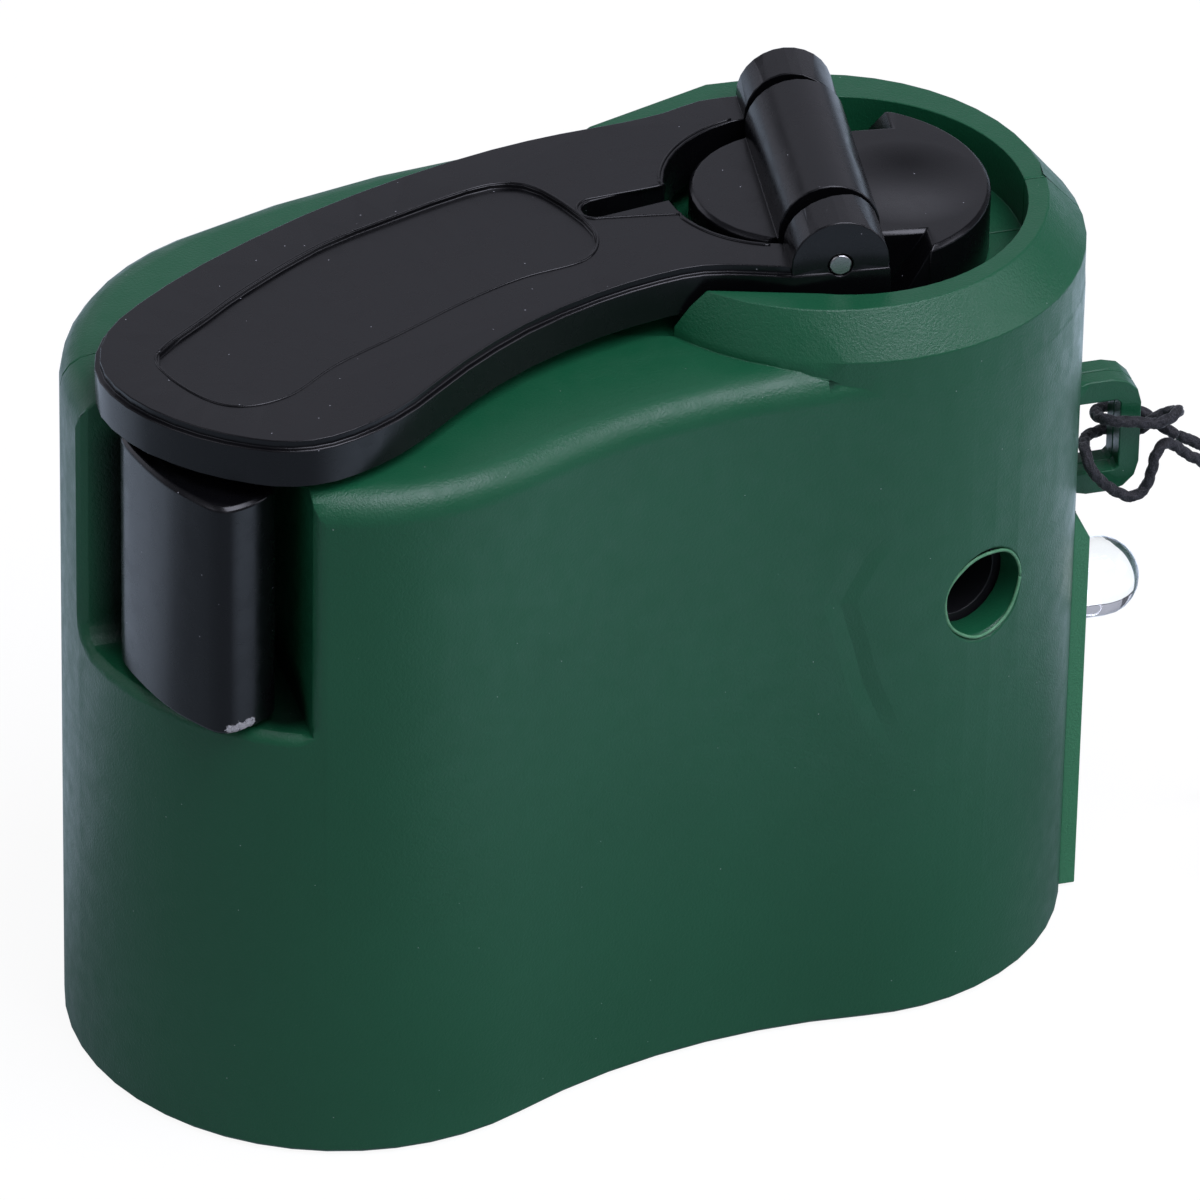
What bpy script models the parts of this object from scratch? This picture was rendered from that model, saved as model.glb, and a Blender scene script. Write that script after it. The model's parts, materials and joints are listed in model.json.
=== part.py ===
"""A pocket hand crank generator, stowed: two moulded half housings, a folding crank with its grip
down in a bay of the housing, a step-up gear train, a small motor used as the generator, a board
with a charging outlet, a lamp, and a thin cord hitched on an eye.

Metres, +Z up. The origin is where the crank axis meets the base. +X points to the lamp end, and
-Y to the side with the handle bay.
"""

import math

import bmesh
import bpy
from mathutils import Matrix, Vector

# Running fits, gaps and overruns
running_gap = 0.0001
piece_gap = 0.0003
seam_gap = 0.0001
overrun = 0.0020

# Housing: two lobes joined by a waist in front and a long arc behind
left_lobe_radius = 0.0202
right_lobe_radius = 0.0180
lobe_spacing = 0.0385
lobe_setback = 0.0050
waist_radius = 0.0500
back_radius = 0.0800
housing_height = 0.0565
wall = 0.0020
top_fillet = 0.0024
base_chamfer = 0.0004
seam_y = -0.0014
edge_break = 0.0003

# Collar round the hub: a cone that rises to a flat rim, open toward the arm
crease_rise = 0.0008
rim_rise = 0.0039
rim_radius = 0.0163
rim_shift_x = -0.0010
rim_shift_y = 0.0008
well_radius = 0.0136
well_step = 0.0003
collar_inset = 0.00005
arm_way_shares = [
    (0.28, 0.985),
    (1.36, 0.77),
    (1.38, -0.76),
    (0.84, -0.83),
    (0.62, -0.97),
    (0.28, -0.96),
]
guard_foot_shares = [(0.0, 1.05), (-0.55, 1.10), (-1.05, 0.98), (-1.05, 0.70), (-0.30, 0.70)]
guard_crest_shares = [(0.0, 0.94), (-0.28, 0.95), (-0.83, 0.75), (-0.78, 0.70), (-0.30, 0.70)]

# Bay for the folded grip, a corner notch in the left lobe
grip_floor_gap = 0.0004
bay_right_x = -0.0455
bay_back_y = -0.0075
bay_corner_radius = 0.0020
bay_edge_round = 0.0011
bay_edge_turn_share = 0.9
rounder_lift_share = 0.06
rounder_shares = (0, 0.25, 0.5, 0.75, 1)

# End strip, lamp, lanyard eye and charging outlet, in line on the +X end
strip_face_x = 0.0185
strip_half_width = 0.0038
strip_height = 0.0310
strip_bevel = 0.0025
strip_foot_x = 0.0150
strip_foot_height = 0.0002
eye_outer_x = 0.0228
eye_root_x = 0.0165
eye_top = 0.0430
eye_bottom = 0.0333
eye_thickness = 0.0030
eye_bar = 0.0016
eye_slot_top = 0.0412
eye_slot_bottom = 0.0351
eye_corner_radius = 0.0023
eye_slot_inner_x = 0.0150
lamp_height = 0.0249
lamp_radius = 0.0030
lamp_centre_x = 0.0206
lamp_flange_radius = 0.0036
lamp_flange_length = 0.0012
usb_bottom = 0.0045
usb_tall = 0.0126
usb_wide = 0.0052
usb_depth = 0.0140
usb_sheet = 0.0004
usb_recess = 0.0002
tongue_tall = 0.0108
tongue_wide = 0.0017
tongue_length = 0.0085
tongue_base = 0.0030

# Power socket behind the round hole in the front wall
jack_bearing = -68.0
jack_drop = 0.0212
jack_hole_radius = 0.0035
jack_rim_chamfer = 0.0005
jack_face_distance = 0.0150
jack_length = 0.0100
jack_width = 0.0080
jack_tall = 0.0086
jack_bore_radius = 0.0030
jack_bore_depth = 0.0080
jack_pin_radius = 0.00065
jack_pin_length = 0.0078
jack_boss_wall = 0.0010

# Crank: hub in the well, with the middle barrel of the hinge on it
crank_bearing = 172.9
hinge_offset = 0.0021
hinge_rise = 0.0017
hinge_length = 0.0246
barrel_length = 0.0150
barrel_radius = 0.0037
knuckle_radius = 0.0036
knuckle_inset = 0.00005
pin_radius = 0.0008
hub_radius = 0.0109
hub_drop = 0.0007
tongue_radius = 0.0077
tongue_offset = 0.0033
hub_waist = 0.0072
hub_notch = 0.0049
hub_chamfer = 0.0003
hub_ramp_run = 0.0030
saddle_drop = 0.0020

# Folding arm, in its own frame: along it from the hinge, across it, and up from the pin
arm_drop = 1.8
arm_reach = 0.0540
arm_thickness = 0.0036
arm_bead = 0.0006
arm_bead_inset = 0.0004
fork_radius = 0.00875
fork_offset = 0.0020
slot_width = 0.0022
slot_start_shares = (0.150, -0.008)
slot_end_shares = (0.296, 0.030)
panel_depth = 0.00035
arm_outline_shares = [
    (0.063, -0.2278),
    (0.120, -0.224),
    (0.172, -0.202),
    (0.231, -0.187),
    (0.315, -0.174),
    (0.413, -0.150),
    (0.541, -0.102),
    (0.685, -0.030),
    (0.833, 0.067),
    (0.931, 0.152),
    (0.981, 0.215),
    (1.000, 0.287),
    (0.987, 0.352),
    (0.948, 0.417),
    (0.889, 0.474),
    (0.824, 0.513),
    (0.769, 0.530),
    (0.715, 0.526),
    (0.654, 0.498),
    (0.596, 0.454),
    (0.517, 0.374),
    (0.426, 0.300),
    (0.324, 0.244),
    (0.239, 0.213),
    (0.178, 0.202),
    (0.120, 0.212),
    (0.063, 0.2278),
]
arm_panel_shares = [
    (0.913, 0.283),
    (0.841, 0.206),
    (0.778, 0.144),
    (0.672, 0.059),
    (0.567, 0.004),
    (0.459, -0.044),
    (0.404, -0.052),
    (0.363, -0.026),
    (0.318, 0.054),
    (0.309, 0.110),
    (0.335, 0.154),
    (0.419, 0.181),
    (0.498, 0.222),
    (0.607, 0.294),
    (0.693, 0.350),
    (0.761, 0.411),
    (0.820, 0.426),
    (0.865, 0.402),
    (0.906, 0.339),
]

# Grip on its boss under the arm's end
grip_along = 0.0467
grip_across = 0.0209
grip_reach = 0.0078
grip_outline_shares = [
    (0.15, -0.75),
    (0.55, -0.67),
    (0.68, -0.56),
    (0.735, -0.40),
    (0.72, -0.21),
    (0.63, 0.06),
    (0.515, 0.33),
    (0.365, 0.60),
    (0.17, 0.845),
    (0.055, 0.96),
    (-0.055, 0.995),
    (-0.19, 0.965),
    (-0.37, 0.865),
    (-0.50, 0.75),
    (-0.545, 0.60),
    (-0.53, 0.29),
    (-0.48, -0.05),
    (-0.375, -0.375),
    (-0.21, -0.60),
    (-0.05, -0.71),
]
grip_top_drop = 0.0048
grip_bottom_drop = 0.0240
grip_edge = 0.0003
grip_boss_radius = 0.0023
grip_shoulder_radius = 0.0034
grip_boss_drop = 0.0195
grip_counterbore_radius = 0.0030
grip_washer_radius = 0.0028
grip_washer_thickness = 0.0004
grip_screw_head_radius = 0.0019
grip_screw_head_height = 0.0011
grip_screw_radius = 0.0008
grip_screw_length = 0.0080

# Gear train: module, teeth and levels
crank_gear_radius = 0.0145
crank_gear_teeth = 58
first_pinion_teeth = 12
first_wheel_teeth = 48
second_pinion_teeth = 12
second_wheel_teeth = 40
generator_pinion_teeth = 10
tooth_root_share = 1.15
tooth_tip_share = 0.9
tooth_width_shares = (0.33, 0.12)
wheel_step = 0.0034
gear_thickness = 0.0024
first_wheel_thickness = 0.0020
second_wheel_thickness = 0.0020
first_gear_bearing = 185.0
second_gear_bearing = 164.0
generator_bearing = 252.0
sleeve_radius = 0.0018
axle_radius = 0.0008
crank_gear_boss_radius = 0.0042
crank_gear_boss_height = 0.0006

# Crank shaft, bush and the screw that holds them
shaft_radius = 0.0024
shaft_socket_depth = 0.0030
shaft_screw_radius = 0.0008
shaft_screw_length = 0.0060
shaft_washer_radius = 0.0040
shaft_washer_thickness = 0.0004
shaft_screw_head_radius = 0.0026
shaft_screw_head_height = 0.0011
bush_radius = 0.0045
bush_flange_radius = 0.0062

# Gear plates, their posts and screws
plate_thickness = 0.0018
plate_ceiling_gap = 0.0014
lower_plate_drop = 0.0079
lower_plate_end_x = -0.0080
upper_plate_end_x = 0.0078
plate_bay_gap = 0.0004
post_radius = 0.0020
post_screw_radius = 0.0008
post_screw_length = 0.0040
post_screw_head_radius = 0.0014
post_screw_head_height = 0.0010
post_place_shares = [(-0.623, -0.405), (-0.48, 0.369), (-1.247, 0.104), (-1.013, -0.48)]
ledge_depth = 0.0022
ledge_width = 0.0060
ledge_height = 0.0020
ledge_x_shares = [-0.35, -0.85]

# Generator: a flat-sided can with its cap, magnets, rotor and shaft
can_radius = 0.0100
can_half_width = 0.0076
terminal_floor_gap = 0.0029
can_sheet = 0.0008
can_nose_radius = 0.0030
can_nose_height = 0.0012
end_cap_thickness = 0.0026
magnet_thickness = 0.0014
magnet_end_room = 0.0065
magnet_half_angle = 36.0
rotor_radius = 0.0064
rotor_hub_radius = 0.0030
rotor_end_room = 0.0085
rotor_slot_angle = 24.0
commutator_radius = 0.0022
commutator_length = 0.0024
generator_shaft_radius = 0.0010
terminal_width = 0.0020
terminal_thickness = 0.0004
terminal_length = 0.0030
terminal_spacing = 0.0090
lead_radius = 0.0005
lead_height_share = 0.4655

# Board, its parts, and the lamp's slide switch
board_y = 0.0018
board_thickness = 0.0016
board_left_x = -0.0145
board_right_x = 0.0125
board_bottom = 0.0030
board_plate_gap = 0.0023
board_corner = 0.0010
board_boss_radius = 0.0022
board_screw_radius = 0.0008
board_screw_head_radius = 0.0015
board_screw_head_height = 0.0010
board_screw_length = 0.0060
board_hole_radius = 0.0010
board_left_boss_shares = (-0.62, 0.468)
board_right_boss_shares = (0.64, 0.655)
coil_radius = 0.0030
coil_height = 0.0040
coil_place_shares = (-0.20, 0.38)
capacitor_radius = 0.0025
capacitor_height = 0.0062
capacitor_place_shares = (-0.38, 0.114)
chip_width = 0.0040
chip_length = 0.0050
chip_height = 0.0015
chip_place_shares = (-0.30, 0.734)
switch_x = -0.0070
switch_drop = 0.0070
switch_length = 0.0086
switch_tall = 0.0040
switch_depth = 0.0036
switch_travel = 0.0015
knob_length = 0.0024
knob_tall = 0.0018
knob_reach = 0.0016
knob_foot = 0.0010

# Screws that close the housing, and the columns they run in
column_radius = 0.0028
column_bore_radius = 0.0011
column_head_bore_radius = 0.0022
column_screw_radius = 0.0010
column_screw_head_radius = 0.0019
column_screw_head_height = 0.0012
column_screw_depth = 0.0050
column_web = 0.0020
column_place_shares = [(-1.377, 0.3), (-1.377, 0.856), (-0.52, 0.255)]
lamp_column_shares = (0.711, 0.6)

# Lanyard cord: one cord, hitched on the eye, its unseen length in one coil on the ground
cord_diameter = 0.0010
cord_spacing = 0.00165
coil_mean_radius = 0.0056
coil_turns_in = 2.0
coil_centre_x = 0.0405
coil_centre_y = -0.0090
coil_start_bearing = 225.0
coil_points_per_turn = 24
coil_end_run = 0.0010
strand_step_share = 2.4
hitch_route = [
    (0.0263, -0.0010, 0.0361),
    (0.0253, -0.0006, 0.0368),
    (0.0242, 0.0004, 0.0375),
    (0.0229, 0.0011, 0.0379),
    (0.0216, 0.0011, 0.0381),
    (0.0205, 0.0004, 0.0384),
    (0.0199, -0.0012, 0.0390),
    (0.0199, -0.0028, 0.0397),
    (0.0206, -0.0037, 0.0399),
    (0.0220, -0.0038, 0.0397),
    (0.0235, -0.0038, 0.0393),
    (0.0246, -0.0037, 0.0394),
    (0.0255, -0.0032, 0.0396),
    (0.0258, -0.0024, 0.0392),
    (0.0251, -0.0016, 0.0386),
    (0.0241, -0.0013, 0.0379),
    (0.0236, -0.0008, 0.0370),
    (0.0233, 0.0003, 0.0363),
    (0.0222, 0.0011, 0.0361),
    (0.0209, 0.0010, 0.0361),
    (0.0197, 0.0002, 0.0363),
    (0.0190, -0.0014, 0.0367),
    (0.0186, -0.0030, 0.0371),
    (0.0187, -0.0039, 0.0363),
    (0.0196, -0.0040, 0.0350),
    (0.0208, -0.0040, 0.0339),
    (0.0220, -0.0040, 0.0333),
    (0.0230, -0.0039, 0.0338),
    (0.0235, -0.0038, 0.0351),
    (0.0239, -0.0035, 0.0364),
    (0.0248, -0.0030, 0.0369),
    (0.0258, -0.0027, 0.0362),
    (0.0265, -0.0026, 0.0355),
]
strand_out_route = [
    (0.0267, -0.0026, 0.0353),
    (0.0280, -0.0024, 0.0343),
    (0.0296, -0.0026, 0.0325),
    (0.0308, -0.0032, 0.0296),
    (0.0314, -0.0040, 0.0250),
    (0.0316, -0.0050, 0.0200),
    (0.0313, -0.0061, 0.0145),
    (0.0308, -0.0072, 0.0090),
    (0.0305, -0.0083, 0.0048),
    (0.0309, -0.0095, 0.0021),
    (0.0320, -0.0109, 0.0009),
    (0.0333, -0.0123, 0.0006),
]
strand_back_route = [
    (0.0437, -0.0015, 0.0019),
    (0.0420, 0.0002, 0.0012),
    (0.0396, 0.0021, 0.0007),
    (0.0368, 0.0032, 0.0006),
    (0.0341, 0.0032, 0.0008),
    (0.0322, 0.0025, 0.0022),
    (0.0313, 0.0017, 0.0052),
    (0.0311, 0.0011, 0.0100),
    (0.0314, 0.0006, 0.0150),
    (0.0318, 0.0003, 0.0205),
    (0.0318, 0.0000, 0.0260),
    (0.0310, -0.0004, 0.0305),
    (0.0294, -0.0008, 0.0338),
    (0.0277, -0.0010, 0.0353),
    (0.0265, -0.0010, 0.0360),
]

# Smoothness: points on a full circle, on small rounds and between the points of smooth curves
round_points = 48
small_round_points = 20
corner_points = 4
bay_edge_steps = 10
half_turn = 180
right_angle_steps = [math.pi / 2 * step / 4 for step in range(5)]
curve_steps = 2


# Small helpers for points


def polar(radius, bearing, centre=(0, 0)):
    """A point at a bearing in degrees round a centre."""
    turn = math.radians(bearing)
    return (centre[0] + radius * math.cos(turn), centre[1] + radius * math.sin(turn))


def bearing_of(start, end):
    """The bearing in degrees from one point to another."""
    return math.degrees(math.atan2(end[1] - start[1], end[0] - start[0]))


def arc(centre, radius, start, end, points):
    """Points on an arc from one bearing to another, both ends included."""
    return [
        polar(radius, start + (end - start) * step / (points - 1), centre) for step in range(points)
    ]


def circle(radius, centre=(0, 0), points=round_points):
    """Points once round a circle, anticlockwise."""
    return [polar(radius, 360 * step / points, centre) for step in range(points)]


def touching_centre(first, first_reach, second, second_reach, side):
    """The centre that is first_reach from one point and second_reach from another."""
    gap = math.dist(first, second)
    along = (first_reach**2 - second_reach**2 + gap**2) / (2 * gap)
    off = side * math.sqrt(first_reach**2 - along**2)
    ux, uy = (second[0] - first[0]) / gap, (second[1] - first[1]) / gap
    return (first[0] + along * ux - off * uy, first[1] + along * uy + off * ux)


def smooth(points, steps, closed):
    """A Catmull-Rom curve through the points, with this many steps between two of them."""
    count = len(points)
    spans = count if closed else count - 1
    curve = []
    for span in range(spans):
        if closed:
            near = [points[(span + shift) % count] for shift in (-1, 0, 1, 2)]
        else:
            near = [points[min(max(span + shift, 0), count - 1)] for shift in (-1, 0, 1, 2)]
        for step in range(steps):
            t = step / steps
            weights = (
                (-t + 2 * t**2 - t**3) / 2,
                (2 - 5 * t**2 + 3 * t**3) / 2,
                (t + 4 * t**2 - 3 * t**3) / 2,
                (-(t**2) + t**3) / 2,
            )
            curve.append(
                tuple(
                    sum(weight * point[axis] for weight, point in zip(weights, near))
                    for axis in range(len(points[0]))
                )
            )
    if not closed:
        curve.append(tuple(points[-1]))
    return curve


def inset_outline(points, distance):
    """The closed anticlockwise outline moved inward along its own normals."""
    count = len(points)
    moved = []
    for place, point in enumerate(points):
        before = points[place - 1]
        after = points[(place + 1) % count]
        first = Vector((point[0] - before[0], point[1] - before[1])).normalized()
        second = Vector((after[0] - point[0], after[1] - point[1])).normalized()
        normal = Vector((-first[1] - second[1], first[0] + second[0])).normalized()
        lean = max(normal.dot(Vector((-first[1], first[0]))), 0.5)
        moved.append((point[0] + normal[0] * distance / lean, point[1] + normal[1] * distance / lean))
    return moved


def scaled(shares, size):
    """A table of shares turned into lengths."""
    return [tuple(share * size for share in row) for row in shares]


# Small helpers for solids


def material(name, colour, roughness, metallic=0.0, alpha=1.0):
    """A Principled material."""
    made = bpy.data.materials.new(name)
    made.use_nodes = True
    shader = made.node_tree.nodes["Principled BSDF"]
    shader.inputs["Base Color"].default_value = (*colour, 1.0)
    shader.inputs["Roughness"].default_value = roughness
    shader.inputs["Metallic"].default_value = metallic
    shader.inputs["Alpha"].default_value = alpha
    return made


def from_bmesh(mesh, name="piece"):
    """An object from a bmesh, with its faces pointing out."""
    bmesh.ops.recalc_face_normals(mesh, faces=mesh.faces)
    data = bpy.data.meshes.new(name)
    mesh.to_mesh(data)
    mesh.free()
    made = bpy.data.objects.new(name, data)
    bpy.context.scene.collection.objects.link(made)
    return made


def stack(rings):
    """A closed solid from rings of points of one count, bottom ring first, with flat ends."""
    mesh = bmesh.new()
    rows = [[mesh.verts.new(point) for point in ring] for ring in rings]
    count = len(rows[0])
    for lower, upper in zip(rows, rows[1:]):
        for place in range(count):
            after = (place + 1) % count
            mesh.faces.new((lower[place], lower[after], upper[after], upper[place]))
    mesh.faces.new(list(reversed(rows[0])))
    mesh.faces.new(rows[-1])
    return from_bmesh(mesh)


def prism(outline, bottom, top):
    """An outline pulled up from bottom to top."""
    return stack([[(*point, height) for point in outline] for height in (bottom, top)])


def turned(profile, points=round_points, closed=False):
    """A turned solid round the Z axis from (radius, height) pairs. A closed profile is a ring."""
    mesh = bmesh.new()
    rows = []
    for radius, height in profile:
        if radius == 0:
            rows.append([mesh.verts.new((0, 0, height))] * points)
        else:
            rows.append([mesh.verts.new((*point, height)) for point in circle(radius, points=points)])
    pairs = list(zip(rows, rows[1:]))
    if closed:
        pairs.append((rows[-1], rows[0]))
    for lower, upper in pairs:
        for place in range(points):
            after = (place + 1) % points
            corners = (lower[place], lower[after], upper[after], upper[place])
            mesh.faces.new(list(dict.fromkeys(corners)))
    return from_bmesh(mesh)


def rod(radius, bottom, top, centre=(0, 0), points=round_points):
    """An upright cylinder."""
    return prism(circle(radius, centre, points), bottom, top)


def tube(outer, inner, bottom, top, points=round_points):
    """An upright sleeve round the Z axis."""
    return turned([(outer, bottom), (outer, top), (inner, top), (inner, bottom)], points, True)


def box(low, high):
    """A block between two corners."""
    outline = [(low[0], low[1]), (high[0], low[1]), (high[0], high[1]), (low[0], high[1])]
    return prism(outline, low[2], high[2])


def screw(length, radius, head_radius, head_height, points=12):
    """A pan head screw along -Z, with the underside of its head at the origin."""
    return turned(
        [
            (0, -length),
            (radius / 2, -length),
            (radius, radius - length),
            (radius, 0),
            (head_radius, 0),
            (head_radius, head_height / 2),
            (head_radius * 0.6, head_height),
            (0, head_height),
        ],
        points,
    )


def moved(made, matrix):
    """Moves a mesh itself, so that the object stays unturned at its origin."""
    made.data.transform(matrix)
    return made


def at(x, y, z):
    """A move."""
    return Matrix.Translation((x, y, z))


def facing(direction, place):
    """Turns +Z to a direction, then moves to a place."""
    turn = Vector((0, 0, 1)).rotation_difference(Vector(direction)).to_matrix().to_4x4()
    return Matrix.Translation(place) @ turn


def boolean(target, tools, operation):
    """Cuts, joins or trims a solid with others, which are used up."""
    for tool in tools:
        step = target.modifiers.new(operation.title(), "BOOLEAN")
        step.operation = operation
        step.solver = "EXACT"
        step.object = tool
        bpy.context.view_layer.update()
        graph = bpy.context.evaluated_depsgraph_get()
        solid = bpy.data.meshes.new_from_object(target.evaluated_get(graph))
        target.modifiers.clear()
        target.data = solid
        bpy.data.objects.remove(tool)
    return target


def cut(target, *tools):
    return boolean(target, tools, "DIFFERENCE")


def join(target, *tools):
    return boolean(target, tools, "UNION")


def keep(target, *tools):
    return boolean(target, tools, "INTERSECT")


def soften_ends(made, heights, width, segments=2):
    """Rounds the flat ends' edges that lie at these heights."""
    mesh = bmesh.new()
    mesh.from_mesh(made.data)
    edges = [
        edge
        for edge in mesh.edges
        if any(all(abs(v.co.z - height) < width / 100 for v in edge.verts) for height in heights)
        and len(edge.link_faces) == 2
        and edge.calc_face_angle(0) > math.radians(30)
    ]
    bmesh.ops.bevel(
        mesh, geom=edges, offset=width, segments=segments, profile=0.5, affect="EDGES"
    )
    mesh.to_mesh(made.data)
    mesh.free()
    return made


def name_piece(made, name, finish, parent=None):
    """Names a finished piece, gives it its material and hangs it on its axis."""
    made.name = name
    made.data.name = name
    made.data.materials.clear()
    made.data.materials.append(finish)
    made.data.shade_smooth()
    made.data.set_sharp_from_angle(angle=math.radians(30))
    made.parent = parent
    return made


def name_alike(pieces, name, finish, parent=None):
    """Names alike pieces with a number each."""
    for number, piece in enumerate(pieces, start=1):
        name_piece(piece, name + "_" + str(number), finish, parent)


def axis_empty(name, place, turn, parent=None):
    """An empty on a joint's axis."""
    made = bpy.data.objects.new(name, None)
    bpy.context.scene.collection.objects.link(made)
    made.location = place
    made.rotation_euler = [math.radians(angle) for angle in turn]
    made.parent = parent
    return made


# Levels, from the housing's top down, and what follows from them

crease_height = housing_height + crease_rise
rim_height = housing_height + rim_rise
hinge_height = rim_height + hinge_rise
hub_top = hinge_height - hub_drop
arm_fall = grip_along * math.sin(math.radians(arm_drop))
bay_floor_height = hinge_height - arm_fall - grip_bottom_drop - grip_floor_gap
jack_height = housing_height - jack_drop
well_floor = housing_height - well_step
top_inner = housing_height - well_step - wall
upper_plate_top = top_inner - plate_ceiling_gap
upper_plate_bottom = upper_plate_top - plate_thickness
crank_gear_bottom = upper_plate_bottom - crank_gear_boss_height - gear_thickness
first_wheel_bottom = crank_gear_bottom - wheel_step
second_wheel_bottom = first_wheel_bottom - wheel_step
lower_plate_bottom = second_wheel_bottom - lower_plate_drop
lower_plate_top = lower_plate_bottom + plate_thickness
can_bottom = wall + terminal_floor_gap + terminal_length + end_cap_thickness
can_top = lower_plate_bottom - piece_gap
can_length = can_top - can_bottom
magnet_length = can_length - magnet_end_room
rotor_length = can_length - rotor_end_room
board_top = lower_plate_bottom - board_plate_gap
switch_height = board_top - switch_drop
usb_top = usb_bottom + usb_tall
gear_module = 2 * crank_gear_radius / crank_gear_teeth
mesh_slack = running_gap
column_places = [(x * lobe_spacing, z * lower_plate_bottom) for x, z in column_place_shares]
lamp_top = lamp_height + lamp_flange_radius
above_lamp = lamp_top + lamp_column_shares[1] * (crank_gear_bottom - lamp_top)
column_places.append((lamp_column_shares[0] * right_lobe_radius, above_lamp))
lead_height = lead_height_share * lower_plate_bottom
post_places = [(x * lobe_spacing, y * lobe_spacing) for x, y in post_place_shares]
jack_out = Vector((*polar(1, jack_bearing), 0))


# Outlines of the housing

right_lobe = (0.0, 0.0)
left_lobe = (-lobe_spacing, -lobe_setback)
waist_centre = touching_centre(
    right_lobe, right_lobe_radius + waist_radius, left_lobe, left_lobe_radius + waist_radius, 1
)
back_centre = touching_centre(
    right_lobe, back_radius - right_lobe_radius, left_lobe, back_radius - left_lobe_radius, 1
)


def housing_outline(inset):
    """The kidney shaped plan, anticlockwise from the waist, moved in by an inset."""
    waist_right = bearing_of(right_lobe, waist_centre)
    back_right = bearing_of(back_centre, right_lobe)
    back_left = bearing_of(back_centre, left_lobe)
    waist_left = bearing_of(left_lobe, waist_centre) + 360
    right = arc(right_lobe, right_lobe_radius - inset, waist_right, back_right, 24)
    back = arc(back_centre, back_radius - inset, back_right, back_left, 7)
    left = arc(left_lobe, left_lobe_radius - inset, back_left, waist_left, 26)
    waist = arc(
        waist_centre,
        waist_radius + inset,
        bearing_of(waist_centre, left_lobe),
        bearing_of(waist_centre, right_lobe),
        8,
    )
    return right + back[1:-1] + left + waist[1:-1]


def in_crank_frame(points):
    """Plan points along and across the folded arm, turned into X and Y."""
    along = polar(1, crank_bearing)
    across = polar(1, crank_bearing + 90)
    return [
        (a * along[0] + b * across[0], a * along[1] + b * across[1]) for a, b in points
    ]


def shell_blank():
    """The outside of the whole housing as one solid."""
    body = prism(housing_outline(0), 0, housing_height)
    soften_ends(body, [housing_height], top_fillet, 4)
    soften_ends(body, [0], base_chamfer, 1)
    drum = right_lobe_radius - collar_inset
    rim = (rim_shift_x, rim_shift_y)
    collar = stack(
        [
            [(*point, housing_height - 2 * top_fillet) for point in circle(drum)],
            [(*point, crease_height) for point in circle(drum)],
            [(*point, rim_height) for point in circle(rim_radius, rim)],
        ]
    )
    guard_mesh = bmesh.new()
    feet = [(*point, housing_height - wall) for point in scaled(guard_foot_shares, right_lobe_radius)]
    crests = [(*point, rim_height) for point in scaled(guard_crest_shares, right_lobe_radius)]
    for point in feet + crests:
        guard_mesh.verts.new(point)
    bmesh.ops.convex_hull(guard_mesh, input=guard_mesh.verts)
    guard = from_bmesh(guard_mesh)
    join(body, collar, guard)
    return join(body, end_strip(), eye_blank())


def end_strip():
    """The raised strip on the lamp end, with its bevelled top."""
    outline = [
        (strip_foot_x, strip_foot_height),
        (strip_face_x, strip_foot_height),
        (strip_face_x, strip_height),
        (strip_face_x - strip_bevel / 2, strip_height + strip_bevel),
        (strip_foot_x, strip_height + strip_bevel),
    ]
    strip = prism(outline, seam_y - strip_half_width, seam_y + strip_half_width)
    return moved(strip, Matrix.Rotation(math.radians(90), 4, "X") @ Matrix.Scale(-1, 4, (0, 0, 1)))


def rounded_box_outline(low, high, radius, points=corner_points):
    """A rectangle with round corners, anticlockwise."""
    corners = [
        ((high[0] - radius, low[1] + radius), -90),
        ((high[0] - radius, high[1] - radius), 0),
        ((low[0] + radius, high[1] - radius), 90),
        ((low[0] + radius, low[1] + radius), 180),
    ]
    outline = []
    for centre, start in corners:
        outline += arc(centre, radius, start, start + 90, points)
    return outline


def upright(made):
    """Stands a solid drawn in plan up, so that its plan's Y becomes Z."""
    made.data.transform(Matrix.Rotation(math.radians(90), 4, "X"))
    return made


def eye_blank():
    """The lanyard eye: a flat ring on the lamp end, in line with the seam."""
    outside = rounded_box_outline(
        (eye_root_x, eye_bottom), (eye_outer_x, eye_top), eye_corner_radius
    )
    inside = rounded_box_outline(
        (eye_slot_inner_x, eye_slot_bottom),
        (eye_outer_x - eye_bar, eye_slot_top),
        edge_break,
        2,
    )
    half = eye_thickness / 2
    ring = upright(prism(outside, -half - seam_y, half - seam_y))
    slot = upright(prism(inside, -half - seam_y - overrun, half - seam_y + overrun))
    return cut(ring, slot)


def well_cutter():
    """The round well and the way that the folded arm lies in, in one cutter."""
    way = scaled(arm_way_shares, well_radius)
    start = bearing_of((0, 0), way[-1])
    end = bearing_of((0, 0), way[0])
    round_side = arc((0, 0), well_radius, end, start + 360, 40)
    outline = in_crank_frame(way[1:-1] + round_side[::-1])
    area = sum(a[0] * b[1] - a[1] * b[0] for a, b in zip(outline, outline[1:] + outline[:1]))
    if area < 0:
        outline.reverse()
    return prism(outline, well_floor, rim_height + overrun)


def bay_cutter(grow=0.0):
    """The corner notch for the grip, grown by a wall where it bounds the inside."""
    reach = left_lobe_radius + lobe_spacing + overrun
    centre = (bay_back_y - bay_corner_radius, bay_floor_height + bay_corner_radius)
    profile = [(-reach, rim_height + overrun), (-reach, bay_floor_height - grow)]
    profile += arc(centre, bay_corner_radius + grow, -90, 0, 2 * corner_points)
    profile += [(bay_back_y + grow, rim_height + overrun)]
    rings = [[(x, *point) for point in profile] for x in (-reach, bay_right_x + grow)]
    return stack(rings)


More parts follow.
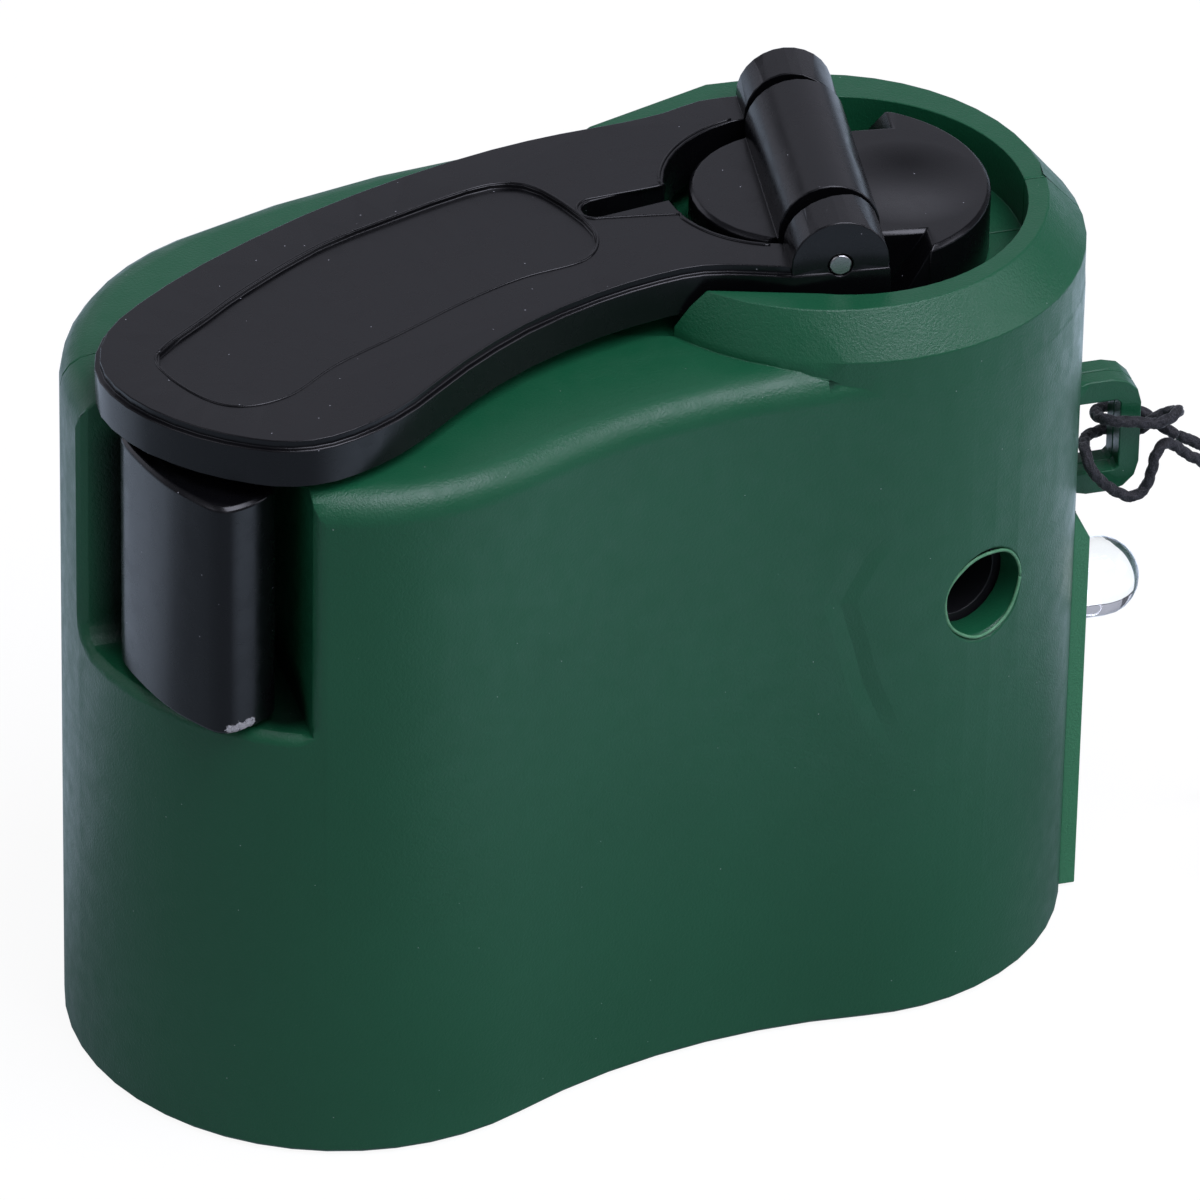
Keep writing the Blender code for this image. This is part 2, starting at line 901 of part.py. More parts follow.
def bay_edge():
    """The bay's outer edge on the left lobe, from its right end down, along the floor and up its
    back wall: (bearing, height, direction from the bay's surface into its space)."""
    middle_y = left_lobe[1]
    edge_turn = bay_edge_turn_share * bay_edge_round
    right_bearing = -math.degrees(math.acos((bay_right_x - left_lobe[0]) / left_lobe_radius))
    edge = [(right_bearing, rim_height, (-1, 0, 0))]
    for turn in right_angle_steps:
        along = edge_turn * (1 - math.cos(turn))
        height = bay_floor_height + edge_turn * (1 - math.sin(turn))
        bearing = right_bearing - math.degrees(along / left_lobe_radius)
        edge.append((bearing, height, (-math.cos(turn), 0, math.sin(turn))))
    back = []
    for turn in right_angle_steps:
        y = bay_back_y - bay_corner_radius * (1 - math.sin(turn))
        height = bay_floor_height + bay_corner_radius * (1 - math.cos(turn))
        bearing = -half_turn + math.degrees(math.asin((middle_y - y) / left_lobe_radius))
        back.append((bearing, height, (0, -math.sin(turn), math.cos(turn))))
    start, end = edge[-1][0], back[0][0]
    for step in range(1, bay_edge_steps):
        bearing = start + (end - start) * step / bay_edge_steps
        edge.append((bearing, bay_floor_height, (0, 0, 1)))
    return edge + back + [(back[-1][0], rim_height, (0, -1, 0))]


def bay_edge_rounder():
    """A cutter swept along the bay's outer edge, which leaves it round."""
    edge = bay_edge()
    places = [
        Vector((*polar(left_lobe_radius, bearing, left_lobe), height))
        for bearing, height, _ in edge
    ]
    steps = [(after - before).normalized() for before, after in zip(places, places[1:])]
    rings = []
    for count, (place, (bearing, _, into)) in enumerate(zip(places, edge)):
        travel = steps[max(count - 1, 0)] + steps[min(count, len(steps) - 1)]
        outward = Vector((*polar(1, bearing), 0))
        into = Vector(into)
        beside = travel.cross(outward).normalized()
        inward = travel.cross(into).normalized()
        beside *= -1 if beside.dot(into) > 0 else 1
        inward *= -1 if inward.dot(outward) > 0 else 1
        first = place + (beside + outward * rounder_lift_share) * bay_edge_round
        last = place + (inward + into * rounder_lift_share) * bay_edge_round
        ring = [
            first * (1 - share) ** 2 + place * 2 * share * (1 - share) + last * share**2
            for share in rounder_shares
        ]
        rings.append(ring + [place + (outward + into) * bay_edge_round / 2])
    return stack(rings)


def columns():
    """Columns across the housing for its closing screws, trimmed inside the walls."""
    reach = left_lobe_radius + lobe_setback
    made = []
    for x, z in column_places:
        column = rod(column_radius, -reach, reach, (x, -z), small_round_points)
        upright(column)
        column.data.transform(Matrix.Scale(-1, 4, (0, 0, 1)))
        column.data.flip_normals()
        made.append(keep(column, prism(housing_outline(wall / 2), wall / 2, housing_height - wall)))
    return made


def ledges():
    """Short ribs inside the walls, under the lower gear plate."""
    made = []
    for share in ledge_x_shares:
        x = share * lobe_spacing
        for side in (-1, 1):
            reach = left_lobe_radius + lobe_setback
            rib = box(
                (x - ledge_width / 2, min(0, side * reach), lower_plate_bottom - piece_gap - ledge_height),
                (x + ledge_width / 2, max(0, side * reach), lower_plate_bottom - piece_gap),
            )
            keep(rib, prism(housing_outline(wall / 2), 0, housing_height))
            made.append(cut(rib, prism(housing_outline(wall + ledge_depth), 0, housing_height)))
    return made


def board_boss_places():
    """Where the board's two screws are, as X and Z. The right one is above the outlet."""
    left = (board_left_boss_shares[0] * board_right_x, board_left_boss_shares[1] * board_top)
    above = board_right_boss_shares[1] * (board_top - usb_top)
    return [left, (board_right_boss_shares[0] * board_right_x, usb_top + above)]


def jack_at(distance):
    """A place on the power socket's line, this far from the crank axis."""
    return jack_out * distance + Vector((0, 0, jack_height))


def housing_solid():
    """The whole housing before it is split at the seam."""
    body = shell_blank()
    cut(body, well_cutter())
    cavity = prism(housing_outline(wall), wall, top_inner)
    cut(cavity, bay_cutter(wall))
    cut(body, cavity, bay_cutter(), bay_edge_rounder())
    join(body, *columns(), *ledges())
    for x, z in board_boss_places():
        reach = right_lobe_radius
        boss = moved(
            rod(board_boss_radius, board_y + board_thickness + piece_gap, reach, points=small_round_points),
            facing((0, 1, 0), (x, 0, z)),
        )
        join(body, keep(boss, prism(housing_outline(wall / 2), 0, housing_height)))
    boss_reach = right_lobe_radius - jack_face_distance - piece_gap - wall / 2
    jack_boss = moved(
        rod(jack_hole_radius + jack_boss_wall, 0, boss_reach, points=small_round_points),
        facing(jack_out, jack_at(jack_face_distance + piece_gap)),
    )
    join(body, jack_boss)
    return body


def cut_openings(body):
    """Bores for screws, bush, lamp, outlet, power socket and switch."""
    reach = 2 * left_lobe_radius
    for x, z in column_places:
        bore_end = -column_web - column_screw_depth
        bore = turned(
            [
                (0, bore_end),
                (column_bore_radius, bore_end),
                (column_bore_radius, column_web),
                (column_head_bore_radius, column_web),
                (column_head_bore_radius, reach),
                (0, reach),
            ],
            small_round_points,
        )
        cut(body, moved(bore, facing((0, 1, 0), (x, seam_y, z))))
    for x, z in board_boss_places():
        bore = moved(
            rod(board_screw_radius + running_gap, 0, board_screw_length, points=small_round_points),
            facing((0, 1, 0), (x, board_y, z)),
        )
        cut(body, bore)
    cut(body, rod(bush_radius + running_gap, top_inner - overrun, well_floor + overrun))
    lamp_hole = moved(
        rod(lamp_radius + running_gap, 0, strip_face_x + overrun, points=small_round_points),
        facing((1, 0, 0), (0, seam_y, lamp_height)),
    )
    outlet = box(
        (0, seam_y - usb_wide / 2 - running_gap, usb_bottom - running_gap),
        (strip_face_x + overrun, seam_y + usb_wide / 2 + running_gap, usb_top + running_gap),
    )
    jack_hole = moved(
        turned(
            [
                (0, 0),
                (jack_hole_radius, 0),
                (jack_hole_radius, right_lobe_radius - jack_face_distance - jack_rim_chamfer),
                (jack_hole_radius + 2 * overrun, right_lobe_radius - jack_face_distance + 2 * overrun),
                (0, right_lobe_radius - jack_face_distance + 2 * overrun),
            ],
            24,
        ),
        facing(jack_out, jack_at(jack_face_distance)),
    )
    switch_slot = box(
        (
            switch_x - knob_length / 2 - switch_travel - running_gap,
            0,
            switch_height - knob_tall / 2 - running_gap,
        ),
        (
            switch_x + knob_length / 2 + switch_travel + running_gap,
            reach,
            switch_height + knob_tall / 2 + running_gap,
        ),
    )
    return cut(body, lamp_hole, outlet, jack_hole, switch_slot)


def half_space(side):
    """A block that holds everything on one side of the seam."""
    reach = 2 * (left_lobe_radius + lobe_spacing)
    edge = seam_y + side * seam_gap / 2
    low = (-reach, min(edge, side * reach), -reach)
    high = (reach, max(edge, side * reach), reach)
    return box(low, high)


def housing(green):
    """Front and back shell, split at the seam."""
    body = cut_openings(housing_solid())
    front = body
    back = bpy.data.objects.new("back", body.data.copy())
    bpy.context.scene.collection.objects.link(back)
    keep(front, half_space(-1))
    keep(back, half_space(1))
    name_piece(front, "front_shell", green)
    name_piece(back, "back_shell", green)


def shell_screws(steel):
    """Four screws from the back, each with its head on the web of its column."""
    length = column_web + column_screw_depth - running_gap
    made = []
    for x, z in column_places:
        one = screw(length, column_screw_radius, column_screw_head_radius, column_screw_head_height)
        made.append(moved(one, facing((0, 1, 0), (x, seam_y + column_web + running_gap, z))))
    name_alike(made, "shell_screw", steel)


# Crank, arm and grip


def crank_hub(black, axis):
    """The disc in the well, narrower under the fork, with the hinge's middle barrel on it."""
    wide = math.degrees(math.acos(-hub_notch / hub_radius))
    narrow = math.degrees(math.asin(hub_waist / tongue_radius))
    outline = arc((0, 0), hub_radius, wide, 360 - wide, 22)
    outline += [(-hub_notch, -hub_waist)]
    outline += arc((tongue_offset, 0), tongue_radius, narrow - 180, 180 - narrow, 24)
    outline += [(-hub_notch, hub_waist)]
    hub = soften_ends(prism(outline, well_floor + piece_gap, hub_top), [hub_top], hub_chamfer, 1)
    reach = hub_notch + hub_waist
    foot = well_floor + piece_gap
    ramp_profile = [
        (-hub_notch - hub_chamfer, foot),
        (hub_ramp_run - hub_notch, foot),
        (-hub_notch, hub_top - hub_chamfer),
        (-hub_notch - hub_chamfer, hub_top - hub_chamfer),
    ]
    ramp = stack([[(s, t, z) for s, z in ramp_profile] for t in (reach, -reach)])
    keep(ramp, rod(hub_radius - knuckle_inset, foot, hub_top))
    join(hub, ramp)
    half = barrel_length / 2
    barrel = moved(
        rod(barrel_radius, -half, half, points=28),
        facing((0, 1, 0), (hinge_offset, 0, hinge_height)),
    )
    side = barrel_radius - edge_break
    saddle = box(
        (hinge_offset - side, -half + edge_break, hub_top - saddle_drop),
        (hinge_offset + side, half - edge_break, hinge_height),
    )
    join(hub, saddle, barrel)
    pin_bore = moved(
        rod(pin_radius + running_gap, -hinge_length, hinge_length, points=small_round_points),
        facing((0, 1, 0), (hinge_offset, 0, hinge_height)),
    )
    socket = rod(shaft_radius + running_gap, 0, well_floor + piece_gap + shaft_socket_depth)
    cut(hub, pin_bore, socket)
    name_piece(hub, "crank_hub", black, axis)


def crank_shaft(steel, axis):
    """The shaft from the hub down to the crank gear, bored for its screw."""
    bottom = crank_gear_bottom - running_gap
    top = well_floor + piece_gap + shaft_socket_depth - running_gap
    bore = shaft_screw_radius + running_gap
    shaft = turned(
        [
            (0, bottom + shaft_screw_length),
            (bore, bottom + shaft_screw_length),
            (bore, bottom),
            (shaft_radius, bottom),
            (shaft_radius, top),
            (0, top),
        ],
        28,
    )
    name_piece(shaft, "crank_shaft", steel, axis)


def gear_ring(teeth, phase):
    """The outline of a spur gear: two points at the root and two at the tip of each tooth."""
    pitch_radius = teeth * gear_module / 2
    root = pitch_radius - tooth_root_share * gear_module
    tip = pitch_radius + tooth_tip_share * gear_module
    wide, narrow = tooth_width_shares
    pitch = 360 / teeth
    outline = []
    for tooth in range(teeth):
        middle = phase + tooth * pitch
        for radius, share in ((root, -wide), (tip, -narrow), (tip, narrow), (root, wide)):
            outline.append(polar(radius, middle + share * pitch))
    return outline


def ring_with_bore(outline, bore, bottom, top):
    """A flat piece of any outline round the Z axis with a round hole."""
    return cut(prism(outline, bottom, top), rod(bore, bottom - overrun, top + overrun, points=28))


first_place = polar(
    (crank_gear_teeth + first_pinion_teeth) * gear_module / 2 + mesh_slack, first_gear_bearing
)
second_place = polar(
    (first_wheel_teeth + second_pinion_teeth) * gear_module / 2 + mesh_slack,
    second_gear_bearing,
    first_place,
)
generator_place = polar(
    (second_wheel_teeth + generator_pinion_teeth) * gear_module / 2 + mesh_slack,
    generator_bearing,
    second_place,
)


def crank_gear(nylon, axis):
    """The big gear on the crank shaft. A tooth points to the first gear's axle."""
    phase = first_gear_bearing - crank_bearing
    top = crank_gear_bottom + gear_thickness
    gear = prism(gear_ring(crank_gear_teeth, phase), crank_gear_bottom, top)
    boss = rod(crank_gear_boss_radius, top - running_gap, top + crank_gear_boss_height, points=28)
    join(gear, boss)
    bore = rod(shaft_radius + running_gap, 0, rim_height, points=28)
    name_piece(cut(gear, bore), "crank_gear", nylon, axis)


def shaft_fixings(steel, axis):
    """Washer and screw under the crank gear."""
    washer_top = crank_gear_bottom - 2 * running_gap
    washer_bottom = washer_top - shaft_washer_thickness
    washer = tube(
        shaft_washer_radius, shaft_screw_radius + running_gap, washer_bottom, washer_top, 28
    )
    name_piece(washer, "shaft_washer", steel, axis)
    reach = shaft_screw_length - piece_gap
    one = screw(reach, shaft_screw_radius, shaft_screw_head_radius, shaft_screw_head_height)
    moved(one, Matrix.Rotation(math.radians(180), 4, "X"))
    moved(one, at(0, 0, washer_bottom - running_gap))
    name_piece(one, "shaft_screw", steel, axis)


def hub_bush(nylon):
    """The sleeve that the crank shaft turns in, held between the housing's top and its plate."""
    bottom = upper_plate_bottom + piece_gap
    flange_bottom = upper_plate_top + piece_gap
    flange_top = top_inner - piece_gap
    bush = turned(
        [
            (bush_radius, bottom),
            (bush_radius, flange_bottom),
            (bush_flange_radius, flange_bottom),
            (bush_flange_radius, flange_top),
            (bush_radius, flange_top),
            (bush_radius, well_floor - running_gap),
            (shaft_radius + running_gap, well_floor - running_gap),
            (shaft_radius + running_gap, bottom),
        ],
        32,
        True,
    )
    name_piece(bush, "hub_bush", nylon)


def arm_outline():
    """The arm's plan: a smooth edge round its end, and square corners at the hinge."""
    half = hinge_length / 2
    edge = smooth(scaled(arm_outline_shares, arm_reach), curve_steps, False)
    return [(-knuckle_radius, -half)] + edge + [(-knuckle_radius, half)]


def crank_arm(black, axis):
    """The banana shaped arm with its fork, slot, inset panel, knuckles and grip boss."""
    outline = arm_outline()
    inner = inset_outline(outline, arm_bead_inset)
    arm = stack(
        [
            [(*point, -arm_thickness) for point in outline],
            [(*point, -arm_bead) for point in outline],
            [(*point, -arm_bead) for point in inner],
            [(*point, 0) for point in inner],
        ]
    )
    low, high = -arm_thickness - overrun, barrel_radius + overrun
    fork = rod(fork_radius, low, high, (fork_offset, 0), 40)
    middle = barrel_length / 2 + hinge_gap()
    mouth = box((-knuckle_radius - overrun, -middle, low), (fork_offset, middle, high))
    start, end = scaled([slot_start_shares, slot_end_shares], arm_reach)
    lean = bearing_of(start, end)
    slot_outline = arc(start, slot_width / 2, lean + 90, lean + 270, 6)
    slot_outline += arc(end, slot_width / 2, lean - 90, lean + 90, 8)
    slot = prism(slot_outline, low, high)
    panel_outline = smooth(scaled(arm_panel_shares, arm_reach), curve_steps, True)
    panel = prism(panel_outline, -panel_depth, high)
    for side in (-1, 1):
        knuckle = moved(
            rod(
                knuckle_radius - knuckle_inset,
                middle if side > 0 else -hinge_length / 2 + knuckle_inset,
                hinge_length / 2 - knuckle_inset if side > 0 else -middle,
                points=28,
            ),
            facing((0, 1, 0), (0, 0, 0)),
        )
        join(arm, knuckle)
    cut(arm, fork, mouth, slot, panel)
    shoulder = rod(grip_shoulder_radius, -grip_top_drop + piece_gap, -arm_thickness / 2, points=24)
    boss = rod(grip_boss_radius, -grip_boss_drop, -arm_thickness / 2, points=24)
    join(arm, moved(shoulder, grip_frame()), moved(boss, grip_frame()))
    screw_hole = rod(
        grip_screw_radius + running_gap,
        -grip_boss_drop - overrun,
        -grip_boss_drop + grip_screw_length,
        points=small_round_points,
    )
    moved(screw_hole, grip_frame())
    pin_hole = moved(
        rod(pin_radius + running_gap, -hinge_length, hinge_length, points=small_round_points),
        facing((0, 1, 0), (0, 0, 0)),
    )
    cut(arm, screw_hole, pin_hole)
    name_piece(arm, "crank_arm", black, axis)


def grip_frame():
    """The grip's axis in the arm's frame, turned back so that it is upright when stowed."""
    turn = Matrix.Rotation(math.radians(-arm_drop), 4, "Y")
    return at(grip_along, grip_across, 0) @ turn


def hinge_gap():
    """The gap between the hub's barrel and each knuckle."""
    return piece_gap


def hinge_pin(steel, axis):
    """The steel pin through barrel and knuckles, flush with the near knuckle."""
    half = hinge_length / 2
    pin = moved(rod(pin_radius, -half, half, points=small_round_points), facing((0, 1, 0), (0, 0, 0)))
    name_piece(pin, "hinge_pin", steel, axis)


def handle_grip(black, axis):
    """The grip, a slanted oval bored for the arm's boss and counterbored below for its washer and screw."""
    outline = smooth(scaled(grip_outline_shares, grip_reach), curve_steps, True)
    grip = prism(outline, -grip_bottom_drop, -grip_top_drop)
    soften_ends(grip, [-grip_bottom_drop, -grip_top_drop], grip_edge, 1)
    bore = rod(grip_boss_radius + running_gap, -grip_bottom_drop - overrun, 0, points=24)
    ledge = -grip_boss_drop + piece_gap
    counterbore = rod(grip_counterbore_radius, -grip_bottom_drop - overrun, ledge, points=24)
    cut(grip, bore, counterbore)
    name_piece(grip, "handle_grip", black, axis)


def handle_fixings(steel, axis):
    """Washer and screw under the boss, which keep the grip on."""
    top = -grip_boss_drop - running_gap
    bottom = top - grip_washer_thickness
    washer = tube(grip_washer_radius, grip_screw_radius + running_gap, bottom, top, 24)
    moved(washer, grip_frame())
    name_piece(washer, "handle_washer", steel, axis)
    reach = grip_screw_length - piece_gap
    one = screw(reach, grip_screw_radius, grip_screw_head_radius, grip_screw_head_height)
    moved(one, Matrix.Rotation(math.radians(180), 4, "X"))
    moved(one, grip_frame() @ at(0, 0, bottom - running_gap))
    name_piece(one, "handle_screw", steel, axis)


# Gear train and its plates


def compound_gear(name, nylon, place, wheel, pinion, sleeve):
    """A wheel and a pinion on one sleeve. wheel and pinion are teeth, phase, bottom and top."""
    bore = axle_radius + running_gap
    parts = [prism(gear_ring(teeth, phase), bottom, top) for teeth, phase, bottom, top in (wheel, pinion)]
    body = rod(sleeve_radius, sleeve[0], sleeve[1], points=small_round_points)
    gear = join(body, *parts)
    cut(gear, rod(bore, 0, rim_height, points=small_round_points))
    axis = axis_empty(name + "_axis", (*place, 0), (0, 0, 0))
    name_piece(gear, name, nylon, axis)


def mesh_phase(bearing, teeth):
    """The phase that puts a gap toward a tooth on a bearing, seen from the other gear."""
    return bearing + 180 + 180 / teeth


def gear_train(nylon, steel):
    """Two compound gears on steel axles between the plates."""
    crank_gear_top = crank_gear_bottom + gear_thickness
    first_top = first_wheel_bottom + first_wheel_thickness
    second_top = second_wheel_bottom + second_wheel_thickness
    sleeve = (lower_plate_top + piece_gap, upper_plate_bottom - piece_gap)
    compound_gear(
        "first_gear",
        nylon,
        first_place,
        (first_wheel_teeth, second_gear_bearing, first_wheel_bottom, first_top),
        (
            first_pinion_teeth,
            mesh_phase(first_gear_bearing, first_pinion_teeth),
            first_top - running_gap,
            crank_gear_top,
        ),
        sleeve,
    )
    compound_gear(
        "second_gear",
        nylon,
        second_place,
        (second_wheel_teeth, generator_bearing, second_wheel_bottom, second_top),
        (
            second_pinion_teeth,
            mesh_phase(second_gear_bearing, second_pinion_teeth),
            second_top - running_gap,
            first_top,
        ),
        sleeve,
    )
    for name, place in (("first_axle", first_place), ("second_axle", second_place)):
        axle = rod(axle_radius, lower_plate_bottom, upper_plate_top, place, small_round_points)
        name_piece(axle, name, steel)


def gear_plate(bottom, end_x):
    """A plate that fills the housing's inside, short of the bay and of an end."""
    top = bottom + plate_thickness
    plate = prism(housing_outline(wall + piece_gap), bottom, top)
    reach = 2 * (lobe_spacing + left_lobe_radius)
    bay_grow = wall + plate_bay_gap
    ends = [
        box((-reach, -reach, 0), (bay_right_x + bay_grow, bay_back_y + bay_grow, rim_height)),
        box((end_x, -reach, 0), (reach, reach, rim_height)),
    ]
    holes = [
        rod(axle_radius + running_gap, 0, rim_height, place, small_round_points)
        for place in (first_place, second_place)
    ]
    return cut(plate, *ends, *holes)


def gear_plates(nylon, steel):
    """The lower plate with its posts, and the upper one screwed down on them."""
    lower = gear_plate(lower_plate_bottom, lower_plate_end_x)
    cut(lower, rod(can_nose_radius + piece_gap, 0, rim_height, generator_place, small_round_points))
    upper = gear_plate(upper_plate_bottom, upper_plate_end_x)
    cut(upper, rod(bush_radius + running_gap, 0, rim_height, points=32))
    screws = []
    bore = post_screw_radius + running_gap
    for place in post_places:
        top = upper_plate_bottom - running_gap
        join(lower, rod(post_radius, lower_plate_top - plate_thickness / 2, top, place, small_round_points))
        bore_bottom = top - post_screw_length
        cut(lower, rod(bore, bore_bottom, upper_plate_top, place, small_round_points))
        cut(upper, rod(bore, bore_bottom, upper_plate_top + overrun, place, small_round_points))
        one = screw(
            post_screw_length, post_screw_radius, post_screw_head_radius, post_screw_head_height
        )
        screws.append(moved(one, at(*place, upper_plate_top + running_gap)))
    name_piece(lower, "lower_gear_plate", nylon)
    name_piece(upper, "upper_gear_plate", nylon)
    name_alike(screws, "gear_plate_screw", steel)


# Generator


def can_outline(inset, points=9):
    """A circle with two flat sides, moved in by an inset."""
    radius = can_radius - inset
    flat = math.degrees(math.asin((can_half_width - inset) / radius))
    return arc((0, 0), radius, -flat, flat, points) + arc((0, 0), radius, 180 - flat, 180 + flat, points)


def generator(steel, dark_steel, cream, copper):
    """The can hangs under the lower plate, its shaft up through it."""
    can = prism(can_outline(0), can_bottom, can_top)
    nose = rod(can_nose_radius, can_top - can_sheet / 2, can_top + can_nose_height, points=24)
    join(can, nose)
    hollow = prism(can_outline(can_sheet), can_bottom - overrun, can_top - can_sheet)
    shaft_hole = rod(generator_shaft_radius + running_gap, 0, rim_height, points=small_round_points)
    name_piece(moved(cut(can, hollow, shaft_hole), at(*generator_place, 0)), "generator_can", steel)

    cap_top = can_bottom + end_cap_thickness / 2
    cap_bottom = cap_top - end_cap_thickness
    lip = prism(can_outline(can_sheet + running_gap), can_bottom - running_gap, cap_top)
    cap = join(prism(can_outline(0), cap_bottom, can_bottom - running_gap / 2), lip)
    cut(cap, rod(generator_shaft_radius + running_gap, 0, rim_height, points=small_round_points))
    for side in (-1, 1):
        slot = terminal_blade(side, running_gap, cap_bottom - overrun, cap_top + overrun)
        cut(cap, slot)
    name_piece(moved(cap, at(*generator_place, 0)), "generator_end_cap", cream)

    blades = [
        terminal_blade(side, 0, cap_bottom - terminal_length, cap_top - piece_gap) for side in (-1, 1)
    ]
    name_alike([moved(one, at(*generator_place, 0)) for one in blades], "generator_terminal", copper)

    middle = can_bottom + can_length / 2 + can_sheet
    outer = can_radius - can_sheet - running_gap
    inner = outer - magnet_thickness
    magnets = []
    for side in (0, 180):
        outline = arc((0, 0), outer, side - magnet_half_angle, side + magnet_half_angle, 8)
        outline += arc((0, 0), inner, side + magnet_half_angle, side - magnet_half_angle, 8)
        magnets.append(prism(outline, middle - magnet_length / 2, middle + magnet_length / 2))
    name_alike([moved(one, at(*generator_place, 0)) for one in magnets], "generator_magnet", dark_steel)

    axis = axis_empty("generator_axis", (*generator_place, 0), (0, 0, 0))
    shaft_top = second_wheel_bottom + second_wheel_thickness + piece_gap
    shaft = rod(generator_shaft_radius, cap_bottom - piece_gap, shaft_top, points=small_round_points)
    name_piece(shaft, "generator_shaft", steel, axis)
    bore = generator_shaft_radius + running_gap
    rotor = ring_with_bore(rotor_outline(), bore, middle - rotor_length / 2, middle + rotor_length / 2)
    name_piece(rotor, "generator_rotor", dark_steel, axis)
    commutator_top = middle - rotor_length / 2 - piece_gap
    commutator = tube(
        commutator_radius, bore, commutator_top - commutator_length, commutator_top, small_round_points
    )
    name_piece(commutator, "generator_commutator", copper, axis)
    phase = mesh_phase(generator_bearing, generator_pinion_teeth)
    pinion = ring_with_bore(
        gear_ring(generator_pinion_teeth, phase),
        bore,
        second_wheel_bottom,
        second_wheel_bottom + second_wheel_thickness,
    )
    name_piece(pinion, "generator_pinion", copper, axis)


def terminal_blade(side, grow, bottom, top):
    """One flat blade on the generator's end cap."""
    x = side * terminal_spacing / 2
    return box(
        (x - terminal_thickness / 2 - grow, -terminal_width / 2 - grow, bottom),
        (x + terminal_thickness / 2 + grow, terminal_width / 2 + grow, top),
    )


def rotor_outline():
    """Three poles with slots between them."""
    outline = []
    for pole in range(3):
        start = pole * 120 + rotor_slot_angle / 2
        outline += arc((0, 0), rotor_radius, start, start + 120 - rotor_slot_angle, 9)
        outline += arc((0, 0), rotor_hub_radius, start + 120 - rotor_slot_angle, start + 120, 3)
    return outline


# Board, outlet, power socket, lamp and switch


def on_board(shares):
    """A place on the board, from its shares across and up."""
    return shares[0] * -board_left_x, board_bottom + shares[1] * (board_top - board_bottom)


def circuit_board(board_green, dark, copper, steel):
    """The board stands along the seam behind the outlet, on two bosses of the back shell."""
    outline = rounded_box_outline(
        (board_left_x, board_bottom), (board_right_x, board_top), board_corner
    )
    board = upright(prism(outline, -board_y - board_thickness, -board_y))
    screws = []
    for x, z in board_boss_places():
        hole = moved(
            rod(board_hole_radius, -overrun, board_thickness + overrun, points=small_round_points),
            facing((0, 1, 0), (x, board_y, z)),
        )
        cut(board, hole)
        one = screw(
            board_screw_length - piece_gap,
            board_screw_radius,
            board_screw_head_radius,
            board_screw_head_height,
        )
        screws.append(moved(one, facing((0, -1, 0), (x, board_y - running_gap, z))))
    name_piece(board, "circuit_board", board_green)
    name_alike(screws, "board_screw", steel)
    face = board_y - running_gap
    x, z = on_board(coil_place_shares)
    drum = turned(
        [
            (0, 0),
            (coil_radius, 0),
            (coil_radius, coil_height / 5),
            (coil_radius * 0.8, coil_height / 5),
            (coil_radius * 0.8, coil_height * 4 / 5),
            (coil_radius, coil_height * 4 / 5),
            (coil_radius, coil_height),
            (0, coil_height),
        ],
        small_round_points,
    )
    name_piece(moved(drum, facing((0, -1, 0), (x, face, z))), "board_inductor", dark)
    x, z = on_board(capacitor_place_shares)
    can = turned(
        [
            (0, 0),
            (capacitor_radius, 0),
            (capacitor_radius, capacitor_height - edge_break),
            (capacitor_radius - edge_break, capacitor_height),
            (0, capacitor_height),
        ],
        small_round_points,
    )
    name_piece(moved(can, facing((0, -1, 0), (x, face, z))), "board_capacitor", copper)
    x, z = on_board(chip_place_shares)
    chip = box(
        (x - chip_length / 2, face - chip_height, z - chip_width / 2),
        (x + chip_length / 2, face, z + chip_width / 2),
    )
    name_piece(chip, "board_regulator", dark)


def charging_outlet(steel, white):
    """A folded sheet box on its side, and the tongue inside it."""
    half = usb_wide / 2
    front = strip_face_x - usb_recess
    back = front - usb_depth
    shell = box((back, seam_y - half, usb_bottom), (front, seam_y + half, usb_top))
    hollow = box(
        (back + usb_sheet, seam_y - half + usb_sheet, usb_bottom + usb_sheet),
        (front + overrun, seam_y + half - usb_sheet, usb_top - usb_sheet),
    )
    name_piece(cut(shell, hollow), "usb_socket_shell", steel)
    middle = (usb_bottom + usb_top) / 2
    inside = half - usb_sheet - running_gap
    base = box(
        (back + usb_sheet + running_gap, seam_y - inside, middle - usb_tall / 2 + usb_sheet + running_gap),
        (back + tongue_base, seam_y + inside, middle + usb_tall / 2 - usb_sheet - running_gap),
    )
    blade = box(
        (back + tongue_base / 2, seam_y - tongue_wide / 2, middle - tongue_tall / 2),
        (back + tongue_base + tongue_length, seam_y + tongue_wide / 2, middle + tongue_tall / 2),
    )
    name_piece(join(base, blade), "usb_socket_tongue", white)


def power_socket(dark, steel):
    """A round-bored block behind the hole, with its centre pin."""
    half = jack_width / 2
    tall = jack_tall / 2
    block = box((-half, -tall, -jack_length), (half, tall, 0))
    bore = rod(jack_bore_radius, -jack_bore_depth, overrun, points=24)
    pin_hole = rod(jack_pin_radius + running_gap, -jack_length - overrun, 0, points=12)
    cut(block, bore, pin_hole)
    upright_turn = Matrix.Rotation(math.radians(90 + jack_bearing), 4, "Z")
    lay_down = Matrix.Rotation(math.radians(90), 4, "X")
    place = Matrix.Translation(jack_at(jack_face_distance)) @ upright_turn @ lay_down
    name_piece(moved(block, place), "dc_jack_body", dark)
    pin = turned(
        [
            (0, -jack_length),
            (jack_pin_radius, -jack_length),
            (jack_pin_radius, -jack_length + jack_pin_length - jack_pin_radius / 2),
            (jack_pin_radius / 2, -jack_length + jack_pin_length),
            (0, -jack_length + jack_pin_length),
        ],
        12,
    )
    name_piece(moved(pin, place), "dc_jack_pin", steel)


